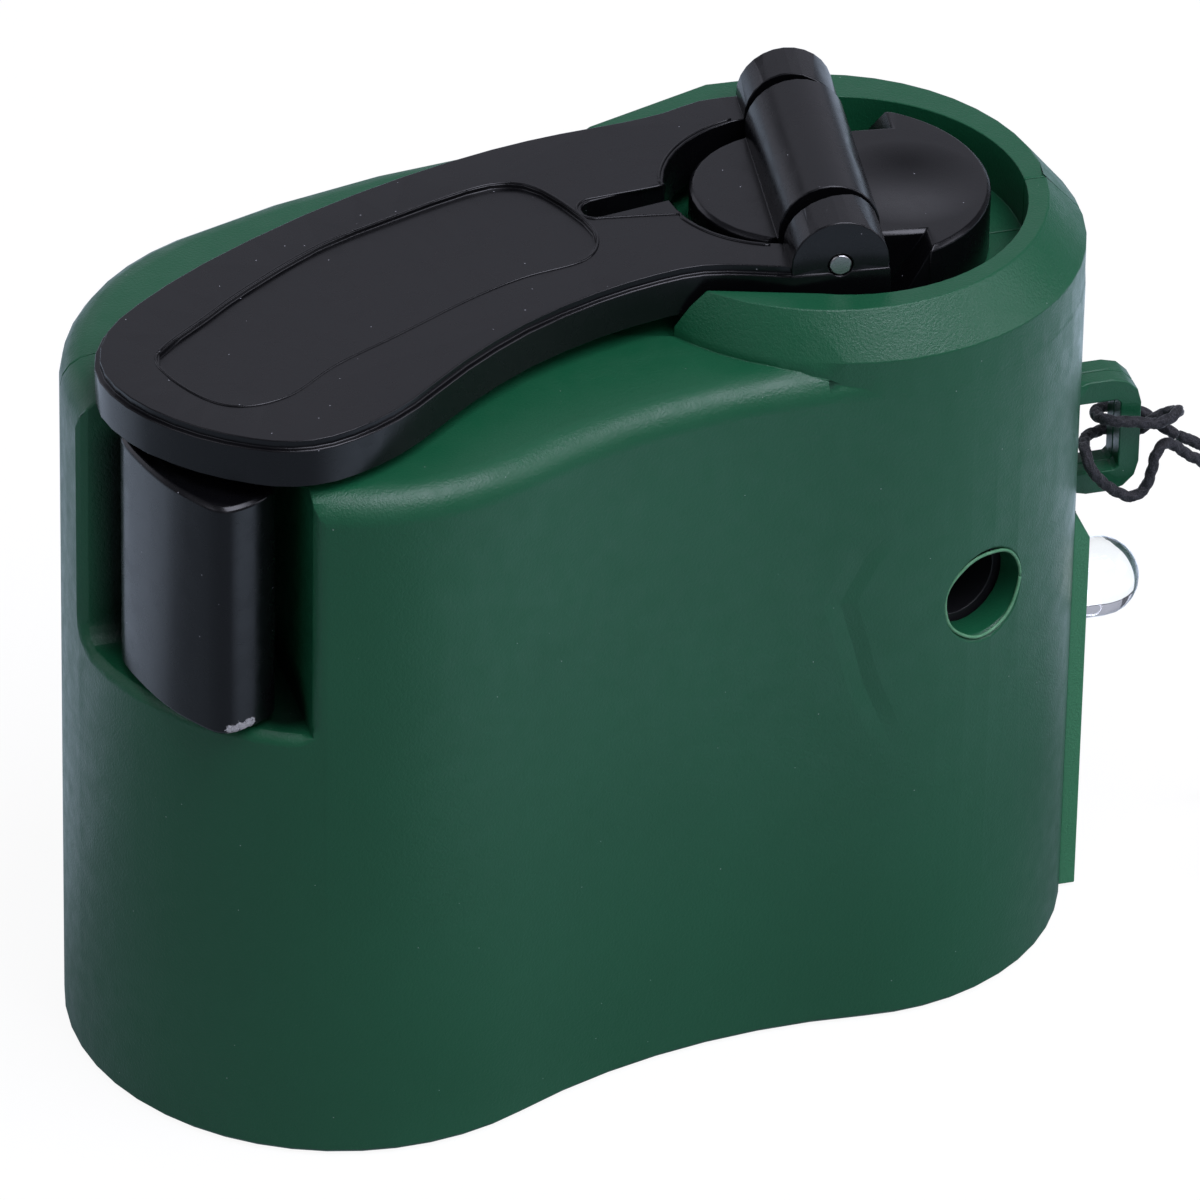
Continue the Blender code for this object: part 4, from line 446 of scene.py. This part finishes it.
def mirrored_light(finish):
    """How bright the floor looks in a reflection: MIRROR_LEAST everywhere, MIRROR_BACK more behind
    the object, and MIRROR_BAND more in the band. The band is the product of three smooth steps:
    up and down with the distance from the foot line, and up towards the right."""
    spot = finish.add("ShaderNodeSeparateXYZ", Vector=finish.place).outputs
    away = finish.away_from(*FOOT_LINE)
    ring = finish.math("MULTIPLY", finish.ease(away, *BAND_STARTS), finish.ease(away, *BAND_ENDS))
    band = finish.math("MULTIPLY", ring, finish.ease(spot["X"], *BAND_ACROSS))
    behind = finish.ease(spot["Y"], *BACK_STARTS)
    dim = finish.math("MULTIPLY_ADD", behind, MIRROR_BACK, MIRROR_LEAST)
    return finish.math("MULTIPLY_ADD", band, MIRROR_BAND, dim)


mirrored = mirrored_light(floor_white)
print("the floor's light in reflections takes", len(floor_white.tree.nodes), "nodes")

# %% The floor that the eye sees
WHITE = (1.0, 1.0, 1.0, 1.0)
SKY_WHITE = (0.68, 0.80, 1.0, 1.0)
SEEN_SHARE, SEEN_WHITE = 0.76, 1.225
FLOOR_REACH, FLOOR_DROP = 3.0, 0.0001


def glow_over(finish, surface, rays, share, colour, strength):
    """The surface, but for a share of some rays it glows in a colour instead."""
    glow = finish.add("ShaderNodeEmission", Color=colour, Strength=strength).outputs[0]
    mixed = finish.add("ShaderNodeMixShader")
    finish.put(mixed, {0: finish.math("MULTIPLY", rays, share), 1: surface, 2: glow})
    return mixed.outputs[0]


def wide_floor(finish):
    """A square of floor a hair below the object, in a finish."""
    corners = [(-1, -1), (1, -1), (1, 1), (-1, 1)]
    mesh = bpy.data.meshes.new("floor")
    points = [(x * FLOOR_REACH, y * FLOOR_REACH, -FLOOR_DROP) for x, y in corners]
    mesh.from_pydata(points, [], [(0, 1, 2, 3)])
    mesh.materials.append(finish.material)
    floor = bpy.data.objects.new("floor", mesh)
    bpy.context.scene.collection.objects.link(floor)
    return floor


rays = floor_white.add("ShaderNodeLightPath").outputs
seen = floor_white.math("MAXIMUM", rays["Is Camera Ray"], rays["Is Transmission Ray"])
grey = floor_white.shader.outputs[0]
below = glow_over(floor_white, grey, rays["Is Glossy Ray"], 1.0, SKY_WHITE, mirrored)
above = glow_over(floor_white, below, seen, SEEN_SHARE, WHITE, SEEN_WHITE)
floor_white.tree.links.new(above, floor_white.tree.nodes["Material Output"].inputs["Surface"])
print("floor:", [2 * FLOOR_REACH] * 2, "m, stage:", wide_floor(floor_white).name)

# %% [markdown]
# ## The world
# The world is what lies all round, beyond the floor. Like the floor, it is plain white to the eye.
# It could light the object just as brightly, but then no side would be darker than another, so it
# gives only a dim, slightly cool and even light.

# %% A white world
COOL_WHITE = (0.84, 0.85, 1.0, 1.0)
WORLD_LIGHT = 0.14


def white_world():
    """Two backgrounds, mixed by whether a ray comes from the camera."""
    world = bpy.data.worlds.new("studio")
    world.use_nodes = True
    tree = world.node_tree
    dim = tree.nodes["Background"]
    dim.inputs["Color"].default_value = COOL_WHITE
    dim.inputs["Strength"].default_value = WORLD_LIGHT
    bright = tree.nodes.new("ShaderNodeBackground")
    bright.inputs["Color"].default_value = WHITE
    path = tree.nodes.new("ShaderNodeLightPath")
    mixed = tree.nodes.new("ShaderNodeMixShader")
    tree.links.new(path.outputs["Is Camera Ray"], mixed.inputs[0])
    tree.links.new(dim.outputs[0], mixed.inputs[1])
    tree.links.new(bright.outputs[0], mixed.inputs[2])
    tree.links.new(mixed.outputs[0], tree.nodes["World Output"].inputs["Surface"])
    bpy.context.scene.world = world


white_world()
bpy.context.scene.view_settings.view_transform = "Standard"
print("world:", bpy.context.scene.world.name, "at", WORLD_LIGHT)

# %% [markdown]
# ## The lamps
# A photographer lights a small object with soft boxes: lamps behind a square of white cloth, whose
# light has no hard edge. In Blender an area lamp is one. The main box stands high on the right and
# gives the tops their sheen. Weaker ones, low and all round, brighten one side each: the back, the
# arm's far edge, the left end, the bay and the front.

# %% Six soft boxes
BOX_AIM = Vector((-0.018, 0, 0.03))
# azimuth and elevation in degrees, distance and width in metres, watts
SOFT_BOXES = {
    "box_main": (32, 64, 0.9, 0.6, 6.5),
    "box_back": (166, 27, 0.9, 0.9, 1.0),
    "box_edge": (-140, 20, 0.9, 0.5, 0.7),
    "box_left": (-78, 36, 1.0, 0.5, 0.8),
    "box_right": (72, 24, 1.0, 0.5, 1.7),
    "box_low": (0, 28, 1.1, 0.5, 0.7),
}


def soft_box(name, azimuth, elevation, distance, width, watts):
    """A square lamp that stands at a distance from BOX_AIM, where a camera with that azimuth and
    elevation would stand, and faces back to it."""
    _, _, back = camera_axes(azimuth, elevation, 0)
    data = bpy.data.lights.new(name, "AREA")
    data.shape, data.size, data.energy = "SQUARE", width, watts
    data.color = COOL_WHITE[:3]
    lamp = bpy.data.objects.new(name, data)
    bpy.context.scene.collection.objects.link(lamp)
    lamp.location = BOX_AIM + back * distance
    lamp.rotation_euler = (-back).to_track_quat("-Z", "Y").to_euler()


for name, figures in SOFT_BOXES.items():
    soft_box(name, *figures)

# %% [markdown]
# ## Marks and painted light on the green housing
# The front wall has the faint crease that the photograph shows beside the round hole, where the
# wall has sunk over ribs behind it. It is only about a tenth of a millimetre deep, so a bump is
# right for it: its height falls off with the distance from a chain of straight lines. The strip on
# the end wall stands proud, and its front edge gets a painted highlight, a paler green that uses the
# same distance from a line. The bay's inner corners get painted shade, a near black green. Such marks
# could be painted on an image, but a distance needs no image and stays sharp from near by.

# %% Where the green is creased, and where highlight and shade are painted
CREASE = MM * np.array([
    (-0.1, -18.0, 43.7), (-2.9, -17.8, 40.9), (-4.7, -17.7, 37.1), (-3.6, -17.8, 33.1),
    (-2.8, -17.9, 29.9), (0.2, -17.9, 22.4),
])
CREASE_REACH, CREASE_DEPTH = 0.0012, 0.00015
CREASE_FOOT, CREASE_HEAD = (0.0224, 0.0300), (0.0437, 0.0390)
# Where the strip's painted highlight lies, and how it fades.
STRIP_EDGE = (0.0182, -0.0052, 0.0002), (0.0182, -0.0052, 0.0325)
CRANK_AXIS, WALL_REACH = ((0, 0, 0), (0, 0, 0.060)), 0.01803
HIGHLIGHT_FADES, HIGHLIGHT_MOST = (0.0008, 0.0014), 0.8
# Painted shade along the bay's two corner lines, and how it fades.
BAY_CORNER = (-0.0465, -0.0195, 0.0362), (-0.0465, -0.0100, 0.0362)
BAY_BACK = (-0.0545, -0.0075, 0.0370), (-0.0545, -0.0075, 0.0520)
CORNER_FADES, BACK_FADES, PAINTED_SHADE_MOST = (0.0018, 0.0036), (0.0014, 0.0034), 0.9


def crease_height(finish):
    """-1 on the crease, rising evenly to 0 at CREASE_REACH from it, times a smooth fade at its foot
    and at its head."""
    nearest = 1.0
    for start, end in zip(CREASE[:-1].tolist(), CREASE[1:].tolist()):
        nearest = finish.math("MINIMUM", finish.away_from(start, end), nearest)
    height = finish.add("ShaderNodeSeparateXYZ", Vector=finish.place).outputs["Z"]
    foot, head = finish.ease(height, *CREASE_FOOT), finish.ease(height, *CREASE_HEAD)
    dip = finish.ramp(nearest, 0.0, CREASE_REACH, -1.0, 0.0)
    return finish.math("MULTIPLY", dip, finish.math("MULTIPLY", foot, head))


def strip_painted_highlight(finish):
    """The share of a painted highlight along the strip's edge, fading with the distance from it. It
    counts only where the surface lies farther from the crank's axis than the round wall does."""
    beside = finish.ramp(finish.away_from(*STRIP_EDGE), *HIGHLIGHT_FADES, HIGHLIGHT_MOST, 0.0)
    proud = finish.math("GREATER_THAN", finish.away_from(*CRANK_AXIS), WALL_REACH)
    return finish.math("MULTIPLY", beside, proud)


def bay_painted_shade(finish):
    """Painted shade along two lines in the bay's corners, fading with the distance from the nearer.
    """
    corner = finish.ramp(finish.away_from(*BAY_CORNER), *CORNER_FADES, PAINTED_SHADE_MOST, 0.0)
    back = finish.ramp(finish.away_from(*BAY_BACK), *BACK_FADES, PAINTED_SHADE_MOST, 0.0)
    return finish.math("MAXIMUM", corner, back)


print("a crease of", len(CREASE) - 1, "lines, up to", round(CREASE_DEPTH / MM, 3), "mm deep")

# %% [markdown]
# ## The green housing
# The housing is moulded in a dark green plastic. The mould was spark eroded, which leaves a fine
# sandy grain that glints on the sloping collar. The grain is a noise in the bump, since it is far
# too fine for the mesh. The colour starts from two close greens in soft clouds. A painted highlight
# on the strip's edge, painted shade in the bay's corners and a little dust lie on it, each mixed in
# by its own share.

# %% Green plastic
GRAINS_PER_METRE, GRAIN_DEPTH = 4600, 0.00004
CLOUDS_PER_METRE, SMEARS_PER_METRE = 110, 700
SPECKS_PER_METRE, SPECK_RADIUS = 520, 0.00005
MOULDED_GREENS, SATIN = (rgb(21, 89, 57), rgb(25, 95, 62)), (0.34, 0.46)
# The green of the strip's painted highlight, the near black of the bay's painted shade, and dust.
HIGHLIGHT_GREEN, PAINTED_SHADE, GREEN_DUST = rgb(72, 148, 104), rgb(3, 12, 8), rgb(150, 170, 160)

housing_green = Finish("housing_green", IOR=1.5)
dust = housing_green.specks(SPECKS_PER_METRE, SPECK_RADIUS)
moulded = housing_green.blend(housing_green.noise(CLOUDS_PER_METRE, 3), *MOULDED_GREENS)
# A paler green painted on the strip's front edge as a highlight.
wear_and_highlight = housing_green.blend(strip_painted_highlight(housing_green), moulded, HIGHLIGHT_GREEN)
# A near black green painted into the bay's corners as shade.
with_painted_shade = housing_green.blend(bay_painted_shade(housing_green), wear_and_highlight, PAINTED_SHADE)
creased = housing_green.bump(crease_height(housing_green), CREASE_DEPTH)
grain = housing_green.noise(GRAINS_PER_METRE, 2, 0.7)
housing_green.put(housing_green.shader, {
    "Base Color": housing_green.blend(dust, with_painted_shade, GREEN_DUST),
    "Roughness": housing_green.ramp(
        housing_green.noise(SMEARS_PER_METRE, 4), *MOST_NOISE, *SATIN
    ),
    "Normal": housing_green.bump(grain, GRAIN_DEPTH, normal=creased),
})
print("green plastic with", len(housing_green.tree.nodes), "nodes")

# %% [markdown]
# ## The black crank
# The crank is a smoother black plastic, polished in its mould, so it shows soft reflections. Thick
# places shrink as they cool: the hub's top has a shallow sink beside the barrel. It could be carved
# into the mesh, but seen from above only its shading shows, and a bump gives that. Handling leaves
# dust, hairline scratches, and one pale scuff on the grip's lowest corner, where it meets a table.

# %% Black plastic
SCUFF_LINE, SCUFF_REACH = ((-0.0512, -0.0225, 0.0371), (-0.0497, -0.0221, 0.0373)), (0.0001, 0.0006)
SINK_AT, SINK_RADIUS, SINK_DEPTH = (0.0046, -0.0012, 0.0616), 0.0058, 0.0007
HAIRLINE_STRETCH, HAIRLINE_TOPS, HAIRLINE_ROUGH = (1, 9, 9), (0.66, 0.70), 0.42
BODY_BLACKS, POLISHED = (rgb(7, 7, 9), rgb(11, 11, 13)), (0.22, 0.30)
TORN_GREYS, TORN_ROUGH = (rgb(60, 60, 64), rgb(236, 236, 238)), 0.7
GREY_DUST = rgb(150, 150, 155)

crank_black = Finish("crank_black", IOR=1.47)
dust = crank_black.specks(640, 0.00006)
ragged = crank_black.ramp(crank_black.noise(4200, 3), *MOST_NOISE, *SCUFF_REACH)
scuff = crank_black.math("LESS_THAN", crank_black.away_from(*SCUFF_LINE), ragged)
torn = crank_black.blend(crank_black.noise(9000, 2), *TORN_GREYS)
body_black = crank_black.blend(crank_black.noise(160, 3), *BODY_BLACKS)
dusty = crank_black.blend(dust, body_black, GREY_DUST)
stretched = crank_black.add("ShaderNodeMapping", Scale=HAIRLINE_STRETCH, Vector=crank_black.place)
streaks = crank_black.noise(420, 4, 0.7, vector=stretched.outputs[0])
hairline = crank_black.math(
    "MULTIPLY", crank_black.ramp(streaks, *HAIRLINE_TOPS), HAIRLINE_ROUGH
)
polished = crank_black.ramp(crank_black.noise(600, 4), *MOST_NOISE, *POLISHED)
marked = crank_black.math("MAXIMUM", hairline, polished)
sink = crank_black.ease(crank_black.away_from(SINK_AT), 0.0, SINK_RADIUS)
sunk = crank_black.bump(sink, SINK_DEPTH)
crank_black.put(crank_black.shader, {
    "Base Color": crank_black.blend(scuff, dusty, torn),
    "Roughness": crank_black.math(
        "MAXIMUM", marked, crank_black.math("MULTIPLY", scuff, TORN_ROUGH)
    ),
    "Normal": crank_black.bump(crank_black.noise(3000, 3), 0.000003, normal=sunk),
})
print("black plastic with", len(crank_black.tree.nodes), "nodes")

# %% [markdown]
# ## The other finishes
# Most of these are inside, and show only through an opening or when the arm is unfolded: turned
# and plated steel, brass, the board's green mask, dull black iron, and plain plastics. Each could
# be built by itself, but they differ only in a few figures, so one function makes the metals and
# one the plastics.

# %% Metals and plastics


def metal(name, colour, roughness, lines=(1, 1, 12)):
    """Metal with faint lines: noise stretched across the axis along which lines is large."""
    finish = Finish(name, Metallic=1.0, Base_Color=colour)
    stretched = finish.add("ShaderNodeMapping", Scale=lines, Vector=finish.place).outputs[0]
    scratch = finish.noise(3000, 3, vector=stretched)
    finish.put(finish.shader, {
        "Roughness": finish.ramp(scratch, *MOST_NOISE, roughness - 0.06, roughness + 0.08),
        "Normal": finish.bump(scratch, 0.000004),
    })
    return finish.material


def plain_plastic(name, dark, light, roughness, grain_depth=0.00001):
    """A moulded plastic: two close colours in soft clouds, and a fine grain."""
    finish = Finish(name)
    finish.put(finish.shader, {
        "Base Color": finish.blend(finish.noise(300, 3), dark, light),
        "Roughness": finish.ramp(
            finish.noise(900, 3), *MOST_NOISE, roughness - 0.05, roughness + 0.05
        ),
        "Normal": finish.bump(finish.noise(6000, 2), grain_depth),
    })
    return finish.material


finishes = {
    "housing_green": housing_green.material,
    "crank_black": crank_black.material,
    "cord_black": cord_finish.material,
    "steel": metal("steel", rgb(190, 190, 188), 0.30),
    "dark_iron": metal("dark_iron", rgb(80, 80, 84), 0.55),
    "brass": metal("brass", rgb(214, 174, 104), 0.30),
    "gear_nylon": plain_plastic("gear_nylon", rgb(222, 220, 212), rgb(232, 230, 224), 0.42),
    "cap_cream": plain_plastic("cap_cream", rgb(226, 214, 184), rgb(233, 222, 196), 0.50),
    "board_green": plain_plastic("board_green", rgb(16, 92, 52), rgb(20, 104, 60), 0.32),
    "socket_black": plain_plastic("socket_black", rgb(24, 24, 26), rgb(30, 30, 33), 0.45),
    "tongue_white": plain_plastic("tongue_white", rgb(224, 224, 220), rgb(232, 232, 228), 0.45),
    "wire_red": plain_plastic("wire_red", rgb(176, 30, 24), rgb(190, 38, 30), 0.38),
}
print(len(finishes), "finishes so far")

# %% [markdown]
# ## The clear lamp
# The lamp is clear cast resin: light goes straight through it, and only its edge shows. A mix with
# a see-through shader would not bend the light, so the shader's own transmission is used, with the
# resin's index of refraction.

# %% Clear resin
lamp_clear = Finish("lamp_clear", Base_Color=(0.97, 0.99, 1.0, 1), Roughness=0.03, IOR=1.49)
lamp_clear.put(lamp_clear.shader, {
    "Transmission Weight": 1.0,
    "Normal": lamp_clear.bump(lamp_clear.noise(500, 1), 0.000004),
})
finishes["lamp_clear"] = lamp_clear.material
print(len(finishes), "finishes")

# %% [markdown]
# ## Smooth skins for the solids
# The CAD solids are made of flat facets. Each gets a skin, which is a copy with its doubled points
# merged and its flat neighbours joined. Facets that meet at less than SHARP_ANGLE are shaded as one
# round surface. A subdivision would round them too, but it would also shrink the piece and melt its
# real edges. No moulded edge is perfectly sharp, so a narrow bevel wears the real ones round and
# lets them catch the light. Normals weighted by face area keep the flats beside a bevel flat.

# %% Make the skins
SHARP_ANGLE, FLAT_ANGLE = 34, 0.3
SAME_POINT, EDGE_WIDTH = 0.000002, 0.00009


def skin(node, slot):
    """A smooth-shaded copy of a CAD node that stands for it."""
    source = frame["nodes"][node]
    mesh = source.data.copy()
    work = bmesh.new()
    work.from_mesh(mesh)
    bmesh.ops.remove_doubles(work, verts=work.verts, dist=SAME_POINT)
    bmesh.ops.dissolve_limit(
        work, angle_limit=math.radians(FLAT_ANGLE), verts=work.verts, edges=work.edges
    )
    wide = [face for face in work.faces if len(face.verts) > 4]
    bmesh.ops.triangulate(work, faces=wide)
    work.to_mesh(mesh)
    work.free()
    mesh.materials.clear()
    mesh.materials.append(finishes[slot])
    mesh.polygons.foreach_set("use_smooth", np.full(len(mesh.polygons), True))
    mesh.set_sharp_from_angle(angle=math.radians(SHARP_ANGLE))
    piece = bpy.data.objects.new("skin_" + node, mesh)
    bpy.context.scene.collection.objects.link(piece)
    wear_and_highlight = piece.modifiers.new("worn_edges", "BEVEL")
    wear_and_highlight.limit_method, wear_and_highlight.angle_limit = "ANGLE", math.radians(SHARP_ANGLE)
    wear_and_highlight.width, wear_and_highlight.segments, wear_and_highlight.use_clamp_overlap = EDGE_WIDTH, 2, False
    even = piece.modifiers.new("even_shading", "WEIGHTED_NORMAL")
    even.mode, even.weight, even.keep_sharp = "FACE_AREA", 100, True
    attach(piece, body_of_node[node])
    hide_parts(node)
    return piece


record = frame["record"]
body_of_node = {n: body for body, nodes in record["behaviour"]["bodies"].items() for n in nodes}
slot_of_node = {row["node"]: row["material_slot"] for row in record["subparts"]}
cord_nodes = set(record["physics"]["cord_nodes"])
for node, slot in slot_of_node.items():
    if node not in cord_nodes:
        skin(node, slot)
print("skins:", len(slot_of_node) - len(cord_nodes))

# %% [markdown]
# ## The burr round the power socket's hole
# The hole in the front wall was drilled or reamed after moulding, and its edge shows a thin pale
# burr. A ring of paler colour would lie flat, but a burr stands up and catches the light, so it is
# a thin tube. Its pale greens are partly the burr's own and partly a painted highlight of the lit
# rim. It follows the hole's edge, which bends with the wall.

# %% A pale burr with a painted highlight
WALL_RADIUS, HOLE_BEARING = 0.0180, math.radians(-68.0)
HOLE_HEIGHT, HOLE_RADIUS = 0.0353, 0.0035
BURR, BURR_SUNK = 0.00013, 1.2
# Greens of the burr, lightened as a painted highlight of the rim.
BURR_AND_HIGHLIGHT_GREENS = rgb(52, 128, 84), rgb(120, 172, 132)

burr_and_highlight_green = Finish("burr_and_highlight_green", Roughness=0.5)
burr_and_highlight_green.put(burr_and_highlight_green.shader, {
    "Base Color": burr_and_highlight_green.blend(burr_and_highlight_green.noise(1500, 3), *BURR_AND_HIGHLIGHT_GREENS),
    "Normal": burr_and_highlight_green.bump(burr_and_highlight_green.noise(3000, 2), 0.00004),
})


def hole_edge(count=72):
    """Points round the hole's edge on the wall's cylinder, closed. Aside and above they are the
    cosine and sine of a turn, times a radius that wanders by one part in a hundred. Their depth
    is the side of a right triangle, whose longest side is the wall's radius and whose other side
    is the distance aside."""
    turn = np.linspace(0, 2 * np.pi, count + 1)
    reach = HOLE_RADIUS * (1 + 0.012 * np.sin(3 * turn) + 0.008 * np.sin(7 * turn + 1))
    aside, above = reach * np.cos(turn), reach * np.sin(turn)
    outward = np.array([math.cos(HOLE_BEARING), math.sin(HOLE_BEARING), 0])
    beside = np.array([-math.sin(HOLE_BEARING), math.cos(HOLE_BEARING), 0])
    upward = np.array([0, 0, 1.0])
    depth = np.sqrt((WALL_RADIUS - BURR * BURR_SUNK) ** 2 - aside**2)
    height = HOLE_HEIGHT + above
    return depth[:, None] * outward + aside[:, None] * beside + height[:, None] * upward


points, faces = tube(hole_edge(), BURR, 8)
mesh_piece("hole_burr", points, faces, burr_and_highlight_green.material, "housing")
print("burr:", len(points), "points")

# %% [markdown]
# ## The arm's own directions
# The arm is folded back over the housing, at a bearing of CRANK_BEARING, and falls towards its far
# end by ARM_DROP. Its fine lines could be drawn straight in the frame's X, Y and Z, but along and
# across the arm they are two numbers each. So they are drawn flat, and then turned into place.

# %% The arm's own directions
CRANK_BEARING, ARM_DROP = math.radians(172.9), math.radians(1.8)
HINGE_OFFSET, HINGE_HEIGHT = 0.0021, 0.0621
level = np.array([math.cos(CRANK_BEARING), math.sin(CRANK_BEARING), 0])
across = np.array([-math.sin(CRANK_BEARING), math.cos(CRANK_BEARING), 0])
upright = np.array([0, 0, 1.0])
along = level * math.cos(ARM_DROP) - upright * math.sin(ARM_DROP)
arm_up = level * math.sin(ARM_DROP) + upright * math.cos(ARM_DROP)
hinge = HINGE_OFFSET * level + HINGE_HEIGHT * upright


def on_arm(flat, lift=0.0):
    """Points along and across the arm, as points in space on its flat top plus a lift."""
    flat = np.asarray(flat)
    return hinge + flat[:, :1] * along + flat[:, 1:2] * across + lift * arm_up


print("the arm's top rises to", round(float(hinge[2]), 4), "m at the hinge")

# %% [markdown]
# ## Fine lines on the arm
# The arm has two thin raised lines: one bounds the inset panel, and one runs beside the fork's
# round opening and its slot. Mould makers cut such a line with a ball cutter that follows the edge.
# Each is a thin round bead here, half sunk in the arm's flat top. A bump would give it no height
# against the light, and a cut in the solid would cost many facets.

# %% The panel's line
BEAD, BEAD_STEP = 0.00012, 0.0004
LIFT_SHARE = -0.15
PANEL_GROW = 0.00014
ARM_REACH = 0.0540
panel_shares = np.array([
    (0.913, 0.283), (0.841, 0.206), (0.778, 0.144), (0.672, 0.059), (0.567, 0.004),
    (0.459, -0.044), (0.404, -0.052), (0.363, -0.026), (0.318, 0.054), (0.309, 0.110),
    (0.335, 0.154), (0.419, 0.181), (0.498, 0.222), (0.607, 0.294), (0.693, 0.350),
    (0.761, 0.411), (0.820, 0.426), (0.865, 0.402), (0.906, 0.339),
])


def panel_route():
    """The panel's outline, closed, moved out a little along its own normals. The curve starts two
    corners early and ends two late, and is cut where it passes the first corner, so that it is
    smooth there too."""
    corners = panel_shares * ARM_REACH
    padded = np.vstack([corners[-2:], corners, corners[:3]])
    flat = smooth_path(np.column_stack([padded, np.zeros(len(padded))]), BEAD_STEP)[:, :2]
    first = np.argmin(np.linalg.norm(flat[: len(flat) // 2] - corners[0], axis=1))
    rest = len(flat) // 2 + np.argmin(np.linalg.norm(flat[len(flat) // 2 :] - corners[0], axis=1))
    flat = flat[first : rest + 1]
    travel = np.gradient(flat, axis=0)
    travel /= np.linalg.norm(travel, axis=1)[:, None]
    return flat + PANEL_GROW * np.column_stack([-travel[:, 1], travel[:, 0]])


def bead(name, flat, around=10):
    """A thin round tube on the arm along a flat route, with its middle LIFT_SHARE of its radius
    above the arm's top."""
    route = smooth_path(on_arm(flat, BEAD * LIFT_SHARE), BEAD_STEP)
    points, faces = tube(route, BEAD, around)
    return mesh_piece(name, points, faces, crank_black.material, "arm")


panel_line = bead("panel_line", panel_route())
print(panel_line.name, "has", len(panel_line.data.vertices), "points")

# %% The fork's lip
FORK_AT, FORK_RADIUS, FORK_END = (0.0020, 0.0), 0.00875, 74
SLOT_START, SLOT_END = np.array([0.0081, -0.00043]), np.array([0.0160, 0.00162])
SLOT_WIDTH, LIP_GAP = 0.0022, 0.00032
MOUTH_SHARE, MOUTH_ROUND = 0.62, 4


def arc_points(centre, radius, start, end, count):
    """Points on an arc from one angle to another, in degrees: the centre plus the radius times the
    angle's cosine and sine."""
    turn = np.radians(np.linspace(start, end, count))
    return np.asarray(centre) + radius * np.column_stack([np.cos(turn), np.sin(turn)])


def fork_route():
    """The lip beside the fork and its slot: an arc of the fork, one side of the slot, the round of
    the slot's end, its other side, and the rest of the fork's arc. The slot leaves the fork at a
    share of its own lean, and the arcs stop MOUTH_ROUND degrees short of it."""
    radius, half = FORK_RADIUS + LIP_GAP, SLOT_WIDTH / 2 + LIP_GAP
    lean = math.degrees(math.atan2(*(SLOT_END - SLOT_START)[::-1]))
    spread = math.degrees(math.asin(half / radius))
    mouth = lean * MOUTH_SHARE
    return np.vstack([
        arc_points(FORK_AT, radius, FORK_END, mouth + spread + MOUTH_ROUND, 24),
        arc_points(SLOT_END, half, lean + 90, lean - 90, 9),
        arc_points(FORK_AT, radius, mouth - spread - MOUTH_ROUND, -FORK_END, 24),
    ])


fork_lip = bead("fork_lip", fork_route())
print(fork_lip.name, "has", len(fork_lip.data.vertices), "points")
